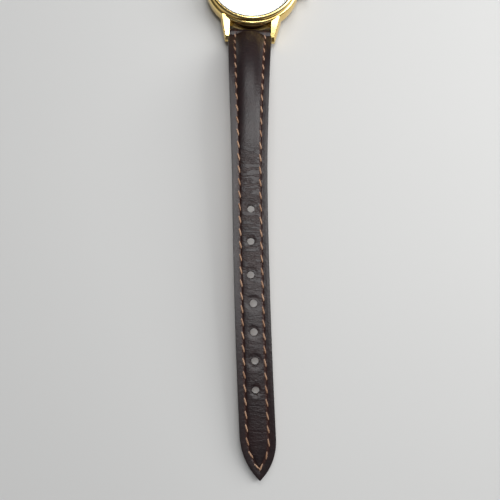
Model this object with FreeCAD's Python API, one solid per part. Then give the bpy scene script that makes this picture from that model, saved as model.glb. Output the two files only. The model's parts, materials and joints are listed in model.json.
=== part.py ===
"""Ladies' quartz wristwatch with a tapered leather strap, lying face up on its case back.

Millimetres. +Z up through the dial, +Y towards 12 o'clock, +X towards 3 o'clock and the crown.
The origin is the centre of the case back's flat outer face.
"""
import FreeCAD, Part
import math
import os

V = FreeCAD.Vector
UP = V(0, 0, 1)
ALONG_X = V(1, 0, 0)

# ---- driving dimensions: case -------------------------------------------------------------
CASE_R = 12.0              # case middle, widest radius
CASE_WALL = 1.40           # case wall outside the movement bore
CASE_BOTTOM = 0.70         # underside of the case middle
OPENING_LEDGE = 0.50       # ledge over the dial's edge
BEZEL_SET = 0.55           # bezel inside the case's widest radius
BEZEL_HEIGHT = 1.25        # bezel above the case middle
CRYSTAL_SEAT = 0.30        # crystal outside the dial opening
CRYSTAL_THICK = 1.05       # crystal at its edge
CRYSTAL_DOME = 0.35        # rise of the crystal's middle
GASKET_WALL = 0.20         # crystal gasket wall
BACK_SET = 0.70            # flat of the case back inside the bore
BACK_THICK = 0.75          # case back plate
BACK_RIM = 0.45            # wall of the case back's snap rim
BACK_RIM_TOP = 1.25        # top of the snap rim
PRESS_GAP = 0.02           # gap drawn between pressed pieces
RUN_GAP = 0.04             # radial clearance of a running fit
FREE_GAP = 0.10            # air between pieces that pass each other
BORE_R = CASE_R - CASE_WALL
DIAL_OPENING_R = BORE_R - OPENING_LEDGE
BEZEL_R = CASE_R - BEZEL_SET
CRYSTAL_R = DIAL_OPENING_R + CRYSTAL_SEAT
BACK_R = BORE_R - BACK_SET

# ---- lugs and spring bars -----------------------------------------------------------------
LUG_GAP = 10.20            # between the lugs' inner faces
LUG_LENGTH = 3.40          # lug tip outside the case
LUG_ROOT_WIDTH = 2.20      # lug width where it meets the case
LUG_TIP_WIDTH = 1.05       # lug width at its tip
LUG_DROP = 1.30            # how far the top facet falls towards the tip
LUG_NOSE = 1.40            # rounded nose beyond the top facet
LUG_BEVEL = 0.55           # bevel along the lug's outer top edge
BAR_OUT = 1.45             # spring bar outside the case
BAR_Z = 2.35               # spring bar above the table
BAR_R = 0.65               # spring bar tube radius
BAR_WALL = 0.18            # tube wall
BAR_ROOM = 0.05            # running clearance round a spring bar
TIP_R = 0.36               # spring bar tip radius
TIP_REACH = 0.70           # tip length held in the lug
TIP_TRAVEL = 0.75          # how far a tip pushes in
TIP_SHANK = 0.80           # tip length kept inside the tube
SPRING_WIRE = 0.13         # square spring wire
SPRING_COILS = 9
LUG_REACH = CASE_R + LUG_LENGTH
BAR_Y = CASE_R + BAR_OUT

# ---- movement and dial heights ------------------------------------------------------------
PLATE_R = 8.80
PLATE_Z = 2.40
PLATE_THICK = 0.80
BRIDGE_Z = 1.00
BRIDGE_THICK = 0.25
PIVOT_R = 0.10
PIVOT_ROOM = 0.03
ARBOR_R = 0.20
MOTION_ROOM = 0.65         # motion works between plate and dial
DIAL_THICK = 0.35
DIAL_PLAY = 0.15           # dial's edge inside the bore
HAND_AIR = 0.22            # hour hand above the dial
HAND_STEP = 0.26           # minute hand above the hour hand
DIAL_TO_TOP = 0.65         # case top above the dial
PLATE_TOP = PLATE_Z + PLATE_THICK
BRIDGE_TOP = BRIDGE_Z + BRIDGE_THICK
DIAL_Z = PLATE_TOP + MOTION_ROOM
DIAL_R = BORE_R - DIAL_PLAY
HOUR_HAND_Z = DIAL_Z + DIAL_THICK + HAND_AIR
MINUTE_HAND_Z = HOUR_HAND_Z + HAND_STEP
CASE_TOP = DIAL_Z + DIAL_THICK + DIAL_TO_TOP

# ---- crown, stem and keyless work ---------------------------------------------------------
STEM_DEPTH = 0.35          # stem axis above the plate's underside
STEM_R = 0.45
CROWN_R = 1.90
CROWN_AIR = 0.35           # crown off the case wall
CROWN_LENGTH = 1.85
CROWN_BORE_DEPTH = 1.05
CROWN_RIBS = 24
TUBE_R = 0.90              # crown tube outer radius
TUBE_PROUD = 0.80          # crown tube outside the case wall
SEAL_SECTION = 0.16        # crown seal, between tube and crown
CLUTCH_R = 0.75
CLUTCH_LENGTH = 1.20
CLUTCH_GROOVE = 0.36
CLUTCH_GROOVE_R = 0.52
SQUARE_HALF = 0.28         # half the stem's square
LEVER_ARM = 1.90           # setting lever, pivot to peg
YOKE_ARM = 2.10            # yoke, pivot to fork
YOKE_SET = 0.12            # yoke pivot outside the clutch groove
PEG_R = 0.11
LEVER_POST_R = 0.18
LEVER_THICK = 0.16
STEM_GROOVE = 0.34
STEM_GROOVE_R = 0.26
GROOVE_X = 7.55            # stem groove for the setting lever
CLUTCH_X = 5.45            # inner end of the clutch
STEM_Z = PLATE_Z + STEM_DEPTH
CROWN_START = CASE_R + CROWN_AIR
CROWN_END = CROWN_START + CROWN_LENGTH
CROWN_BORE_R = TUBE_R + SEAL_SECTION
CROWN_BORE_END = CROWN_START + CROWN_BORE_DEPTH
TUBE_END = CASE_R + TUBE_PROUD

# ---- gear train and electrics -------------------------------------------------------------
TRAIN_TEETH = {"rotor": 6, "intermediate": 36, "intermediate_pinion": 8, "third": 40,
               "third_pinion": 10, "centre": 30, "cannon": 12, "minute": 36,
               "minute_pinion": 10, "hour": 40, "setting": 20}
FAST_MODULE = 0.075        # rotor pinion to intermediate wheel
MID_MODULE = 0.085         # intermediate pinion to third wheel
SLOW_MODULE = 0.120        # third pinion to centre wheel
MOTION_MODULE = 0.085      # cannon pinion, minute wheel and setting wheel
THIRD_ANGLE = 135.0        # direction from the centre arbor to the third arbor
INTERMEDIATE_ANGLE = 60.0  # direction from the third arbor to the intermediate arbor
ROTOR_ANGLE = 0.0          # direction from the intermediate arbor to the rotor
MINUTE_ANGLE = 28.0        # direction from the centre to the minute wheel
SETTING_ANGLE = -14.5      # direction from the minute wheel to the setting wheel
BATTERY_R = 2.90
BATTERY_THICK = 2.15
BATTERY_AT = (-3.90, -3.90)
COIL_Y = 6.25
COIL_R = 0.46
COIL_HALF = 2.80

# ---- dial furniture -----------------------------------------------------------------------
MARKER_LENGTH = 1.20
MARKER_WIDTH = 0.34
MARKER_HEIGHT = 0.14
MARKER_IN = 3.90           # middle of the markers, in from the dial's edge
HOUR_HAND = 5.40
MINUTE_HAND = 8.10
HAND_WIDTH = 0.62
HAND_THICK = 0.10
HAND_TAIL = 1.50
HOUR_ANGLE = 59.0          # hour hand, clockwise from 12
MINUTE_HAND_ANGLE = -52.0  # minute hand, clockwise from 12
DIAL_FOOT_R = 0.30
DIAL_FEET_AT = 8.20
DIAL_FEET = (100, 280)     # degrees
MARKER_R = DIAL_R - MARKER_IN

# ---- strap --------------------------------------------------------------------------------
STRAP_WIDE = 11.00         # just outside the lugs
STRAP_SQUEEZE = 0.30       # strap narrower than the lug gap by this
STRAP_NARROW = 8.00        # tail and buckle end
LONG_TAPER = 41.0          # lug to the parallel stretch of the long half
SHORT_TAPER = 25.0         # lug to the parallel stretch of the short half
EYE_WALL = 0.50            # leather rolled round the spring bar
LINING_THICK = 0.60
LEATHER_THICK = 0.90       # grain leather at the tail
PAD_RISE = 0.95            # extra height over the padding at the lugs
LONG_PAD = 42.0            # where the long half's padding has run out
SHORT_PAD = 27.0
PAD_MARGIN = 6.0           # padding piece stops this far short of that
PAD_START = 4.6
PAD_THICK = 0.80
PAD_EDGE = 0.12            # padding at its thin ends
PAD_SIDE = 1.90            # leather left beside the padding
PAD_ROOM = 0.05
STRAP_NECK = 2.45          # stretch that stays as narrow as the lug gap
LONG_TIP = 9.0             # length of the pointed tip
TIP_WAIST_BACK = 0.45      # share of the tip behind its waist
TIP_WAIST = 0.72           # share of the half width left there
HOLE_R = 0.82
HOLES = 7
HOLE_PITCH = 6.50
FIRST_HOLE = 48.65         # from the spring bar, along the strap
STITCH_PITCH = 2.86
STITCH_LENGTH = 1.90
STITCH_LEAN = 0.22
STITCH_R = 0.17
STITCH_INSET = 1.65        # stitch row from the strap's edge
STITCH_START = 4.6         # middle of the first stitch
SHORT_ROW_END = 4.0        # rows stop this far short of the buckle bar
LONG_LEAN = 2.0            # degrees, sideways set of the long strap at the lugs
LONG_BOW = 3.7             # further sideways bow at the tip
LONG_RISE = 31.0           # degrees, direction in which the long strap leaves the bar
LONG_RUNS = [(3.1, 0.0), (24.0, -34.5), (14.0, -3.0), (24.0, 2.5), (42.2, -6.4)]
SHORT_RISE = 25.5
SHORT_RUNS = [(3.1, 0.0), (22.0, -34.0), (34.4, 0.0)]
STRAP_IN_LUGS = LUG_GAP - STRAP_SQUEEZE
EYE_R = BAR_R + BAR_ROOM + EYE_WALL

# ---- keepers and buckle -------------------------------------------------------------------
KEEPER_WALL = 0.80
KEEPER_WIDTH = 3.20
KEEPER_SIDE = 0.12         # room beside the strap
KEEPER_UNDER = 0.06        # room under the strap
TAIL_ROOM = 0.35           # room over the tail under the keepers
FIXED_KEEPER_BACK = 5.0    # from the buckle bar
FREE_KEEPER_BACK = 15.0
BUCKLE_WIRE = 1.30
BUCKLE_LENGTH = 8.6
BUCKLE_ROOM = 0.60         # buckle wider inside than the strap
BUCKLE_TILT = -7.4         # degrees, lets the far end of the frame down to the table
BUCKLE_EAR = 1.5           # frame behind the bar
BUCKLE_SHOULDER = 2.2
BUCKLE_CORNER = 1.6
EAR_SWELL = 0.25
TONGUE_WIDTH = 1.10
TONGUE_SLOT = 0.20         # room each side of the tongue
TONGUE_WALL = 0.45
BUCKLE_INSIDE = STRAP_NARROW + BUCKLE_ROOM

# Levels and bores inside the movement
FAST_Z = 1.35              # rotor pinion level
STATOR_Z = 1.65            # rotor magnet and third wheel level
CENTRE_Z = 2.02            # centre wheel level
WHEEL_THICK = 0.20
CANNON_R = 0.42
HOUR_TUBE_R = 0.62
BRIDGE_POSTS = [(-4.6, 0.6), (2.6, 1.7), (-2.9, 5.1)]
SLOT_HALF = 1.0
PIVOT_BORE_R = 0.25        # stem pivot


# ---- helpers ------------------------------------------------------------------------------
def save(shape, name):
    if isinstance(shape, list):
        shape = Part.makeCompound(shape)
    shape.exportStep("parts/%s.step" % name)
    print(name, round(shape.Volume, 3))


def disc(radius, low, high, x=0.0, y=0.0):
    return Part.makeCylinder(radius, high - low, V(x, y, low), UP)


def ring(inner, outer, low, high, x=0.0, y=0.0):
    return disc(outer, low, high, x, y).cut(disc(inner, low - 1, high + 1, x, y))


def rod(radius, start, end, y=0.0, z=0.0):
    return Part.makeCylinder(radius, end - start, V(start, y, z), ALONG_X)


def block(x0, x1, y0, y1, z0, z1):
    return Part.makeBox(x1 - x0, y1 - y0, z1 - z0, V(x0, y0, z0))


def outline(points):
    return Part.Face(Part.makePolygon(points + [points[0]]))


def plan_prism(points, low, high):
    face = outline([V(x, y, low) for x, y in points])
    return face.extrude(V(0, 0, high - low))


def turned(profile):
    """Solid of revolution about Z from (radius, height) points."""
    return outline([V(r, 0, z) for r, z in profile]).revolve(V(0, 0, 0), UP, 360)


def polar(radius, degrees, x=0.0, y=0.0):
    a = math.radians(degrees)
    return (x + radius * math.cos(a), y + radius * math.sin(a))


def fuse(shapes):
    return shapes[0].multiFuse(shapes[1:]).removeSplitter()


# ---- gears --------------------------------------------------------------------------------
def gear(teeth, module, low, high, at, phase):
    """Straight-flanked gear; phase is the direction of one tooth in degrees."""
    pitch_r = module * teeth / 2.0
    root_r = pitch_r - 1.05 * module
    tip_r = pitch_r + 0.75 * module
    step = 360.0 / teeth
    points = []
    for k in range(teeth):
        middle = phase + k * step
        for r, share in ((root_r, -0.30), (tip_r, -0.12), (tip_r, 0.12), (root_r, 0.30)):
            points.append(polar(r, middle + share * step, at[0], at[1]))
    return plan_prism(points, low, high)


def mesh_phase(teeth_a, phase_a, direction, teeth_b):
    """Phase of gear b that puts a gap against gear a's tooth along a direction."""
    step_a = 360.0 / teeth_a
    step_b = 360.0 / teeth_b
    offset = ((direction - phase_a) / step_a) % 1.0
    return direction + 180.0 - (0.5 - offset) * step_b


def arbor(at, low, high, radius=ARBOR_R):
    """Arbor with a thinner pivot at each end, held in plate and bridge."""
    pivot = 0.2
    body = disc(radius, low, high, at[0], at[1])
    return body.fuse(disc(PIVOT_R, low - pivot, high + pivot, at[0], at[1]))


# ---- case ---------------------------------------------------------------------------------
def lug(side_x, side_y):
    """One lug: flat falling top facet, straight inner face, tapered and bevelled outer flank."""
    inner = LUG_GAP / 2.0
    root_y = CASE_R - 2.4
    shoulder_y = CASE_R - 1.1
    foot_z = CASE_BOTTOM + 0.15
    top = CASE_TOP - PRESS_GAP
    side = [V(0, root_y, CASE_BOTTOM), V(0, LUG_REACH - 2.2, foot_z),
            V(0, LUG_REACH - 0.5, foot_z + 0.45), V(0, LUG_REACH, foot_z + 1.1),
            V(0, LUG_REACH - 0.3, top - LUG_DROP - 0.8), V(0, LUG_REACH - LUG_NOSE, top - LUG_DROP),
            V(0, shoulder_y, top), V(0, root_y, top)]
    body = outline(side).extrude(V(inner + LUG_ROOT_WIDTH, 0, 0))
    plan_points = [(inner, root_y), (inner + LUG_ROOT_WIDTH, root_y),
                   (inner + LUG_ROOT_WIDTH - 0.1, shoulder_y - 0.2),
                   (inner + LUG_TIP_WIDTH, LUG_REACH + 0.1), (inner, LUG_REACH + 0.1)]
    body = body.common(plan_prism(plan_points, 0, CASE_TOP + 1))
    root = V(inner + LUG_ROOT_WIDTH + 0.05, shoulder_y - 0.5, CASE_TOP + 0.02)
    tip = V(inner + LUG_TIP_WIDTH, LUG_REACH + 0.2, CASE_TOP - LUG_DROP - 0.1)
    wedge_face = outline([V(root.x, root.y, root.z - LUG_BEVEL * 1.6),
                          V(root.x - LUG_BEVEL, root.y, root.z + 0.1),
                          V(root.x + 2.0, root.y, root.z + 0.1)])
    body = body.cut(wedge_face.extrude(tip.sub(root)))
    if side_x < 0:
        body = body.mirror(V(0, 0, 0), ALONG_X)
    if side_y < 0:
        body = body.mirror(V(0, 0, 0), V(0, 1, 0))
    return body


def case_middle():
    wall = [(BORE_R, CASE_BOTTOM), (CASE_R - 0.75, CASE_BOTTOM), (CASE_R - 0.15, CASE_BOTTOM + 0.75),
            (CASE_R, CASE_BOTTOM + 1.6), (CASE_R, CASE_TOP - 0.75), (CASE_R - 0.3, CASE_TOP - 0.15),
            (CASE_R - 0.55, CASE_TOP), (DIAL_OPENING_R, CASE_TOP),
            (DIAL_OPENING_R, DIAL_Z + DIAL_THICK + PRESS_GAP),
            (BORE_R, DIAL_Z + DIAL_THICK + PRESS_GAP)]
    body = turned(wall)
    lugs = [lug(sx, sy) for sx in (-1, 1) for sy in (-1, 1)]
    body = fuse([body] + lugs)
    body = body.cut(disc(BORE_R, -1, DIAL_Z + DIAL_THICK + PRESS_GAP))
    for sy in (-1, 1):
        seat = TIP_REACH + RUN_GAP
        hole = rod(TIP_R + RUN_GAP, -LUG_GAP / 2 - seat, LUG_GAP / 2 + seat, sy * BAR_Y, BAR_Z)
        body = body.cut(hole)
    return body.cut(rod(TUBE_R + PRESS_GAP, BORE_R - 1, CASE_R + 2, 0, STEM_Z))


def bezel():
    low = CASE_TOP
    seat = low + 0.15
    bore = CRYSTAL_R + GASKET_WALL + 2 * PRESS_GAP
    profile = [(DIAL_OPENING_R, low), (BEZEL_R - 0.35, low), (BEZEL_R - 0.3, low + 0.15),
               (BEZEL_R, low + 0.32), (BEZEL_R - 0.05, low + 0.75), (BEZEL_R - 0.35, low + 1.1),
               (BEZEL_R - 0.65, low + BEZEL_HEIGHT), (bore, low + BEZEL_HEIGHT - 0.08),
               (bore, seat), (DIAL_OPENING_R, seat)]
    return turned(profile)


def crystal():
    """Flat underneath, gently domed on top: a disc met by a large sphere."""
    low = CASE_TOP + 0.15 + PRESS_GAP
    top = low + CRYSTAL_THICK + CRYSTAL_DOME
    sphere_r = (CRYSTAL_R ** 2 + CRYSTAL_DOME ** 2) / (2 * CRYSTAL_DOME)
    sphere = Part.makeSphere(sphere_r, V(0, 0, top - sphere_r))
    return disc(CRYSTAL_R, low, top + 1).common(sphere)


def crystal_gasket():
    low = CASE_TOP + 0.15 + PRESS_GAP
    inner = CRYSTAL_R + PRESS_GAP
    return ring(inner, inner + GASKET_WALL, low, low + CRYSTAL_THICK - 0.2)


def case_back():
    flange = CASE_R - 0.95
    rim_out = BORE_R - PRESS_GAP
    profile = [(0, 0), (BACK_R, 0), (flange, CASE_BOTTOM - 0.35), (flange, CASE_BOTTOM - PRESS_GAP),
               (rim_out, CASE_BOTTOM - PRESS_GAP), (rim_out, BACK_RIM_TOP),
               (rim_out - BACK_RIM, BACK_RIM_TOP), (rim_out - BACK_RIM, BACK_THICK), (0, BACK_THICK)]
    groove = ring(rim_out - 0.16, rim_out + 0.1, CASE_BOTTOM + 0.12, CASE_BOTTOM + 0.36)
    return turned(profile).cut(groove)


def case_back_gasket():
    outer = BORE_R - PRESS_GAP
    return ring(outer - 0.15, outer, CASE_BOTTOM + 0.13, CASE_BOTTOM + 0.35)


# ---- dial and hands -----------------------------------------------------------------------
def dial():
    feet = [disc(DIAL_FOOT_R, PLATE_TOP - 0.4, DIAL_Z, *polar(DIAL_FEET_AT, a)) for a in DIAL_FEET]
    plate = ring(0.75, DIAL_R, DIAL_Z, DIAL_Z + DIAL_THICK)
    return fuse([plate] + feet)


def hour_markers():
    low = DIAL_Z + DIAL_THICK
    markers = []
    for hour in range(12):
        width = MARKER_WIDTH * (2.0 if hour == 0 else 1.0)
        baton = block(-width / 2, width / 2, MARKER_R - MARKER_LENGTH / 2,
                      MARKER_R + MARKER_LENGTH / 2, low, low + MARKER_HEIGHT)
        baton.rotate(V(0, 0, 0), UP, -30.0 * hour)
        markers.append(baton)
    return markers


def hand(length, low, angle, bore):
    half = HAND_WIDTH / 2
    points = [(-half * 0.55, -HAND_TAIL), (half * 0.55, -HAND_TAIL), (half * 0.45, 0), (half, length * 0.35),
              (0.06, length), (-0.06, length), (-half, length * 0.35), (-half * 0.45, 0)]
    blade = plan_prism(points, low, low + HAND_THICK)
    blade.rotate(V(0, 0, 0), UP, -angle)
    boss = disc(bore + 0.35, low, low + HAND_THICK)
    return blade.fuse(boss).cut(disc(bore, low - 1, low + 1)).removeSplitter()


# ---- gear train layout --------------------------------------------------------------------
T = TRAIN_TEETH
CENTRE_AT = (0.0, 0.0)
THIRD_AT = polar(SLOW_MODULE * (T["third_pinion"] + T["centre"]) / 2, THIRD_ANGLE)
INTERMEDIATE_AT = polar(MID_MODULE * (T["intermediate_pinion"] + T["third"]) / 2,
                        INTERMEDIATE_ANGLE, *THIRD_AT)
ROTOR_AT = polar(FAST_MODULE * (T["rotor"] + T["intermediate"]) / 2, ROTOR_ANGLE, *INTERMEDIATE_AT)
MOTION_DISTANCE = MOTION_MODULE * (T["cannon"] + T["minute"]) / 2
MINUTE_AT = polar(MOTION_DISTANCE, MINUTE_ANGLE)
HOUR_MODULE = 2 * MOTION_DISTANCE / (T["minute_pinion"] + T["hour"])
SETTING_AT = polar(MOTION_MODULE * (T["minute"] + T["setting"]) / 2, SETTING_ANGLE, *MINUTE_AT)
ARBOR_LOW = BRIDGE_TOP + 0.05
ARBOR_HIGH = PLATE_Z - 0.05
MOTION_Z = PLATE_TOP + 0.05
HOUR_Z = MOTION_Z + WHEEL_THICK + 0.05
CENTRE_PHASE = 0.0
THIRD_PINION_PHASE = mesh_phase(T["centre"], CENTRE_PHASE, THIRD_ANGLE, T["third_pinion"])
THIRD_PHASE = 0.0
INTERMEDIATE_PINION_PHASE = mesh_phase(T["third"], THIRD_PHASE, INTERMEDIATE_ANGLE,
                                       T["intermediate_pinion"])
INTERMEDIATE_PHASE = 0.0
ROTOR_PHASE = mesh_phase(T["intermediate"], INTERMEDIATE_PHASE, ROTOR_ANGLE, T["rotor"])
CANNON_PHASE = 0.0
MINUTE_PHASE = mesh_phase(T["cannon"], CANNON_PHASE, MINUTE_ANGLE, T["minute"])
MINUTE_PINION_PHASE = 0.0
HOUR_PHASE = mesh_phase(T["minute_pinion"], MINUTE_PINION_PHASE, MINUTE_ANGLE + 180, T["hour"])
SETTING_PHASE = mesh_phase(T["minute"], MINUTE_PHASE, SETTING_ANGLE, T["setting"])


def rotor():
    magnet = disc(0.60, STATOR_Z, STATOR_Z + 0.3, *ROTOR_AT)
    pinion = gear(T["rotor"], FAST_MODULE, FAST_Z, FAST_Z + WHEEL_THICK, ROTOR_AT, ROTOR_PHASE)
    return fuse([arbor(ROTOR_AT, ARBOR_LOW, ARBOR_HIGH, 0.14), magnet, pinion])


def intermediate_wheel():
    wheel = gear(T["intermediate"], FAST_MODULE, FAST_Z, FAST_Z + WHEEL_THICK,
                 INTERMEDIATE_AT, INTERMEDIATE_PHASE)
    pinion = gear(T["intermediate_pinion"], MID_MODULE, FAST_Z + WHEEL_THICK, STATOR_Z + WHEEL_THICK,
                  INTERMEDIATE_AT, INTERMEDIATE_PINION_PHASE)
    return fuse([arbor(INTERMEDIATE_AT, ARBOR_LOW, ARBOR_HIGH), wheel, pinion])


def third_wheel():
    wheel = gear(T["third"], MID_MODULE, STATOR_Z, STATOR_Z + WHEEL_THICK, THIRD_AT, THIRD_PHASE)
    pinion = gear(T["third_pinion"], SLOW_MODULE, STATOR_Z + WHEEL_THICK, CENTRE_Z + WHEEL_THICK,
                  THIRD_AT, THIRD_PINION_PHASE)
    return fuse([arbor(THIRD_AT, ARBOR_LOW, ARBOR_HIGH), wheel, pinion])


def centre_wheel():
    wheel = gear(T["centre"], SLOW_MODULE, CENTRE_Z, CENTRE_Z + WHEEL_THICK, CENTRE_AT, CENTRE_PHASE)
    post = disc(0.26, ARBOR_LOW, MINUTE_HAND_Z)
    foot = disc(PIVOT_R, ARBOR_LOW - 0.2, ARBOR_LOW)
    return fuse([wheel, post, foot])


def cannon_pinion():
    leaves = gear(T["cannon"], MOTION_MODULE, MOTION_Z, MOTION_Z + WHEEL_THICK, CENTRE_AT, CANNON_PHASE)
    pipe = disc(CANNON_R, MOTION_Z, MINUTE_HAND_Z + HAND_THICK)
    return leaves.fuse(pipe).removeSplitter().cut(disc(0.26 + 0.01, 0, MINUTE_HAND_Z + 0.01))


def minute_wheel():
    wheel = gear(T["minute"], MOTION_MODULE, MOTION_Z, MOTION_Z + WHEEL_THICK, MINUTE_AT, MINUTE_PHASE)
    pinion = gear(T["minute_pinion"], HOUR_MODULE, MOTION_Z + WHEEL_THICK, HOUR_Z + 0.18,
                  MINUTE_AT, MINUTE_PINION_PHASE)
    stud = disc(PIVOT_R, PLATE_TOP - 0.3, MOTION_Z, *MINUTE_AT)
    return fuse([wheel, pinion, stud])


def hour_wheel():
    wheel = gear(T["hour"], HOUR_MODULE, HOUR_Z, HOUR_Z + 0.18, CENTRE_AT, HOUR_PHASE)
    pipe = disc(HOUR_TUBE_R, HOUR_Z, HOUR_HAND_Z + HAND_THICK)
    return wheel.fuse(pipe).removeSplitter().cut(disc(CANNON_R + RUN_GAP, 0, 10))


def setting_wheel():
    wheel = gear(T["setting"], MOTION_MODULE, MOTION_Z, MOTION_Z + WHEEL_THICK, SETTING_AT, SETTING_PHASE)
    stud = disc(PIVOT_R, PLATE_TOP - 0.1, MOTION_Z, *SETTING_AT)
    return fuse([wheel, stud])


# ---- movement frame -----------------------------------------------------------------------
SLOT_START = CLUTCH_X - 0.45
LEVER_Z = STEM_Z - STEM_R - 0.38
YOKE_Z = STEM_Z - CLUTCH_R - 0.34
YOKE_PEG_X = CLUTCH_X + 0.73


def main_plate():
    plate = disc(PLATE_R, PLATE_Z, PLATE_TOP)
    posts = [disc(0.45, BRIDGE_TOP, PLATE_Z, x, y) for x, y in BRIDGE_POSTS]
    lever_post = disc(LEVER_POST_R, LEVER_Z - 0.06, PLATE_Z, GROOVE_X, -LEVER_ARM)
    yoke_post = disc(LEVER_POST_R, YOKE_Z - 0.06, PLATE_Z, YOKE_PEG_X + YOKE_SET, YOKE_ARM)
    plate = fuse([plate, lever_post, yoke_post] + posts)
    plate = plate.cut(block(SLOT_START, PLATE_R + 1, -SLOT_HALF, SLOT_HALF, PLATE_Z - 0.1, PLATE_TOP + 0.1))
    plate = plate.cut(rod(PIVOT_BORE_R + RUN_GAP, 2.6, SLOT_START + 0.1, 0, STEM_Z))
    plate = plate.cut(disc(BATTERY_R + FREE_GAP, 0, 9, *BATTERY_AT))
    plate = plate.cut(disc(0.26 + RUN_GAP, 0, 9))
    for at in (THIRD_AT, INTERMEDIATE_AT, ROTOR_AT):
        plate = plate.cut(disc(PIVOT_R + PIVOT_ROOM, PLATE_Z - 0.1, PLATE_Z + 0.25, *at))
    for at in (MINUTE_AT, SETTING_AT):
        plate = plate.cut(disc(PIVOT_R + PIVOT_ROOM, PLATE_TOP - 0.32, PLATE_TOP + 0.1, *at))
    for angle in DIAL_FEET:
        foot = disc(DIAL_FOOT_R + PRESS_GAP, PLATE_TOP - 0.45, PLATE_TOP + 0.1, *polar(DIAL_FEET_AT, angle))
        plate = plate.cut(foot)
    for x, y in BRIDGE_POSTS:
        plate = plate.cut(disc(0.2, BRIDGE_TOP - 0.1, PLATE_Z + 0.3, x, y))
    return plate


def train_bridge():
    points = [(-5.3, -0.2), (-0.9, -1.0), (1.0, -0.9), (3.3, 1.2), (3.3, 2.3), (1.6, 4.3),
              (-1.2, 4.6), (-2.4, 5.7), (-3.5, 5.6), (-5.3, 1.4)]
    bridge = plan_prism(points, BRIDGE_Z, BRIDGE_TOP)
    for at in (CENTRE_AT, THIRD_AT, INTERMEDIATE_AT, ROTOR_AT):
        bridge = bridge.cut(disc(PIVOT_R + PIVOT_ROOM, 0, 9, *at))
    for x, y in BRIDGE_POSTS:
        bridge = bridge.cut(disc(0.24, 0, 9, x, y))
    return bridge


def movement_screws():
    screws = []
    for x, y in BRIDGE_POSTS:
        head = disc(0.42, BRIDGE_Z - 0.14, BRIDGE_Z, x, y)
        head = head.cut(block(x - 1, x + 1, y - 0.05, y + 0.05, 0, BRIDGE_Z - 0.07))
        screws.append(head.fuse(disc(0.19, BRIDGE_Z, PLATE_Z + 0.2, x, y)))
    return screws


def battery():
    low = BRIDGE_Z - 0.02
    x, y = BATTERY_AT
    can = disc(BATTERY_R, low + 0.35, low + BATTERY_THICK, x, y)
    return can.fuse(disc(BATTERY_R - 0.5, low, low + 0.35, x, y)).removeSplitter()


def battery_bridle():
    x, y = BATTERY_AT
    low = BRIDGE_Z - 0.15
    strip = block(x - BATTERY_R - 0.6, x + BATTERY_R + 0.6, y - 0.5, y + 0.5, low, low + 0.12)
    foot_a = block(x - BATTERY_R - 0.6, x - BATTERY_R - 0.2, y - 0.5, y + 0.5, low, PLATE_Z)
    foot_b = block(x + BATTERY_R + 0.2, x + BATTERY_R + 0.6, y - 0.5, y + 0.5, low, PLATE_Z)
    return fuse([strip, foot_a, foot_b])


def circuit_board():
    low = BRIDGE_Z + 0.05
    board = plan_prism([(-0.2, -4.6), (6.4, -4.6), (7.2, -3.2), (6.6, -2.6), (1.8, -2.6), (-0.2, -2.9)],
                       low, low + 0.18)
    chip = block(2.2, 4.2, -4.2, -2.9, low + 0.18, low + 0.7)
    posts = [disc(0.35, low + 0.18, PLATE_Z, x, y) for x, y in ((0.6, -3.7), (6.0, -3.6))]
    return fuse([board, chip] + posts)


def quartz_can():
    body = rod(0.72, 0.4, 5.2, -5.75, 1.66)
    leads = [rod(0.08, -0.2, 0.4, -5.75 + dy, 1.66) for dy in (-0.25, 0.25)]
    return fuse([body] + leads)


def coil():
    winding = rod(COIL_R, -COIL_HALF, COIL_HALF, COIL_Y, STATOR_Z + 0.15)
    cheeks = [rod(COIL_R + 0.1, x, x + 0.2, COIL_Y, STATOR_Z + 0.15) for x in (-COIL_HALF, COIL_HALF - 0.2)]
    core = block(-COIL_HALF - 1.1, COIL_HALF + 1.1, COIL_Y - 0.4, COIL_Y + 0.4, STATOR_Z + 0.32, STATOR_Z + 0.5)
    return fuse([winding, core] + cheeks)


def stator():
    low = STATOR_Z
    high = STATOR_Z + 0.30
    plate = block(0.10, 3.9, 2.62, 4.55, low, high)
    right_leg = block(COIL_HALF + 0.1, COIL_HALF + 1.1, 4.5, COIL_Y + 0.4, low, high)
    left_arm = block(-COIL_HALF - 1.1, 1.0, 4.9, 5.3, low, high)
    link = block(0.10, 0.9, 4.4, 5.2, low, high)
    left_leg = block(-COIL_HALF - 1.1, -COIL_HALF - 0.25, 5.2, COIL_Y + 0.4, low, high)
    body = fuse([plate, right_leg, left_arm, link, left_leg])
    body = body.cut(disc(0.60 + FREE_GAP, 0, 9, *ROTOR_AT))
    body = body.cut(disc(0.45 + 0.03, 0, 9, *BRIDGE_POSTS[2]))
    body = body.cut(rod(COIL_R + 0.14, -COIL_HALF - 0.05, COIL_HALF + 0.05, COIL_Y, low + 0.15))
    trench = block(-COIL_HALF - 1.2, COIL_HALF + 1.2, COIL_Y - 0.45, COIL_Y + 0.5, low + 0.3, high + 0.1)
    return body.cut(trench)


def movement_ring():
    low = BACK_RIM_TOP + 0.05
    body = ring(PLATE_R + 0.05, BORE_R - 0.06, low, DIAL_Z - 0.03)
    shelf = ring(PLATE_R - 0.5, PLATE_R + 0.3, PLATE_TOP + 0.02, DIAL_Z - 0.03)
    body = body.fuse(shelf).removeSplitter()
    for angle in DIAL_FEET:
        body = body.cut(disc(DIAL_FOOT_R + FREE_GAP, 0, 9, *polar(DIAL_FEET_AT, angle)))
    return body.cut(block(PLATE_R - 1.2, BORE_R, -0.75, 0.75, STEM_Z - 0.75, STEM_Z + 0.75))


# ---- crown, stem, clutch and levers -------------------------------------------------------
def crown_tube():
    return rod(TUBE_R, BORE_R + 0.05, TUBE_END, 0, STEM_Z).cut(rod(STEM_R + RUN_GAP, 0, 20, 0, STEM_Z))


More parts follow.
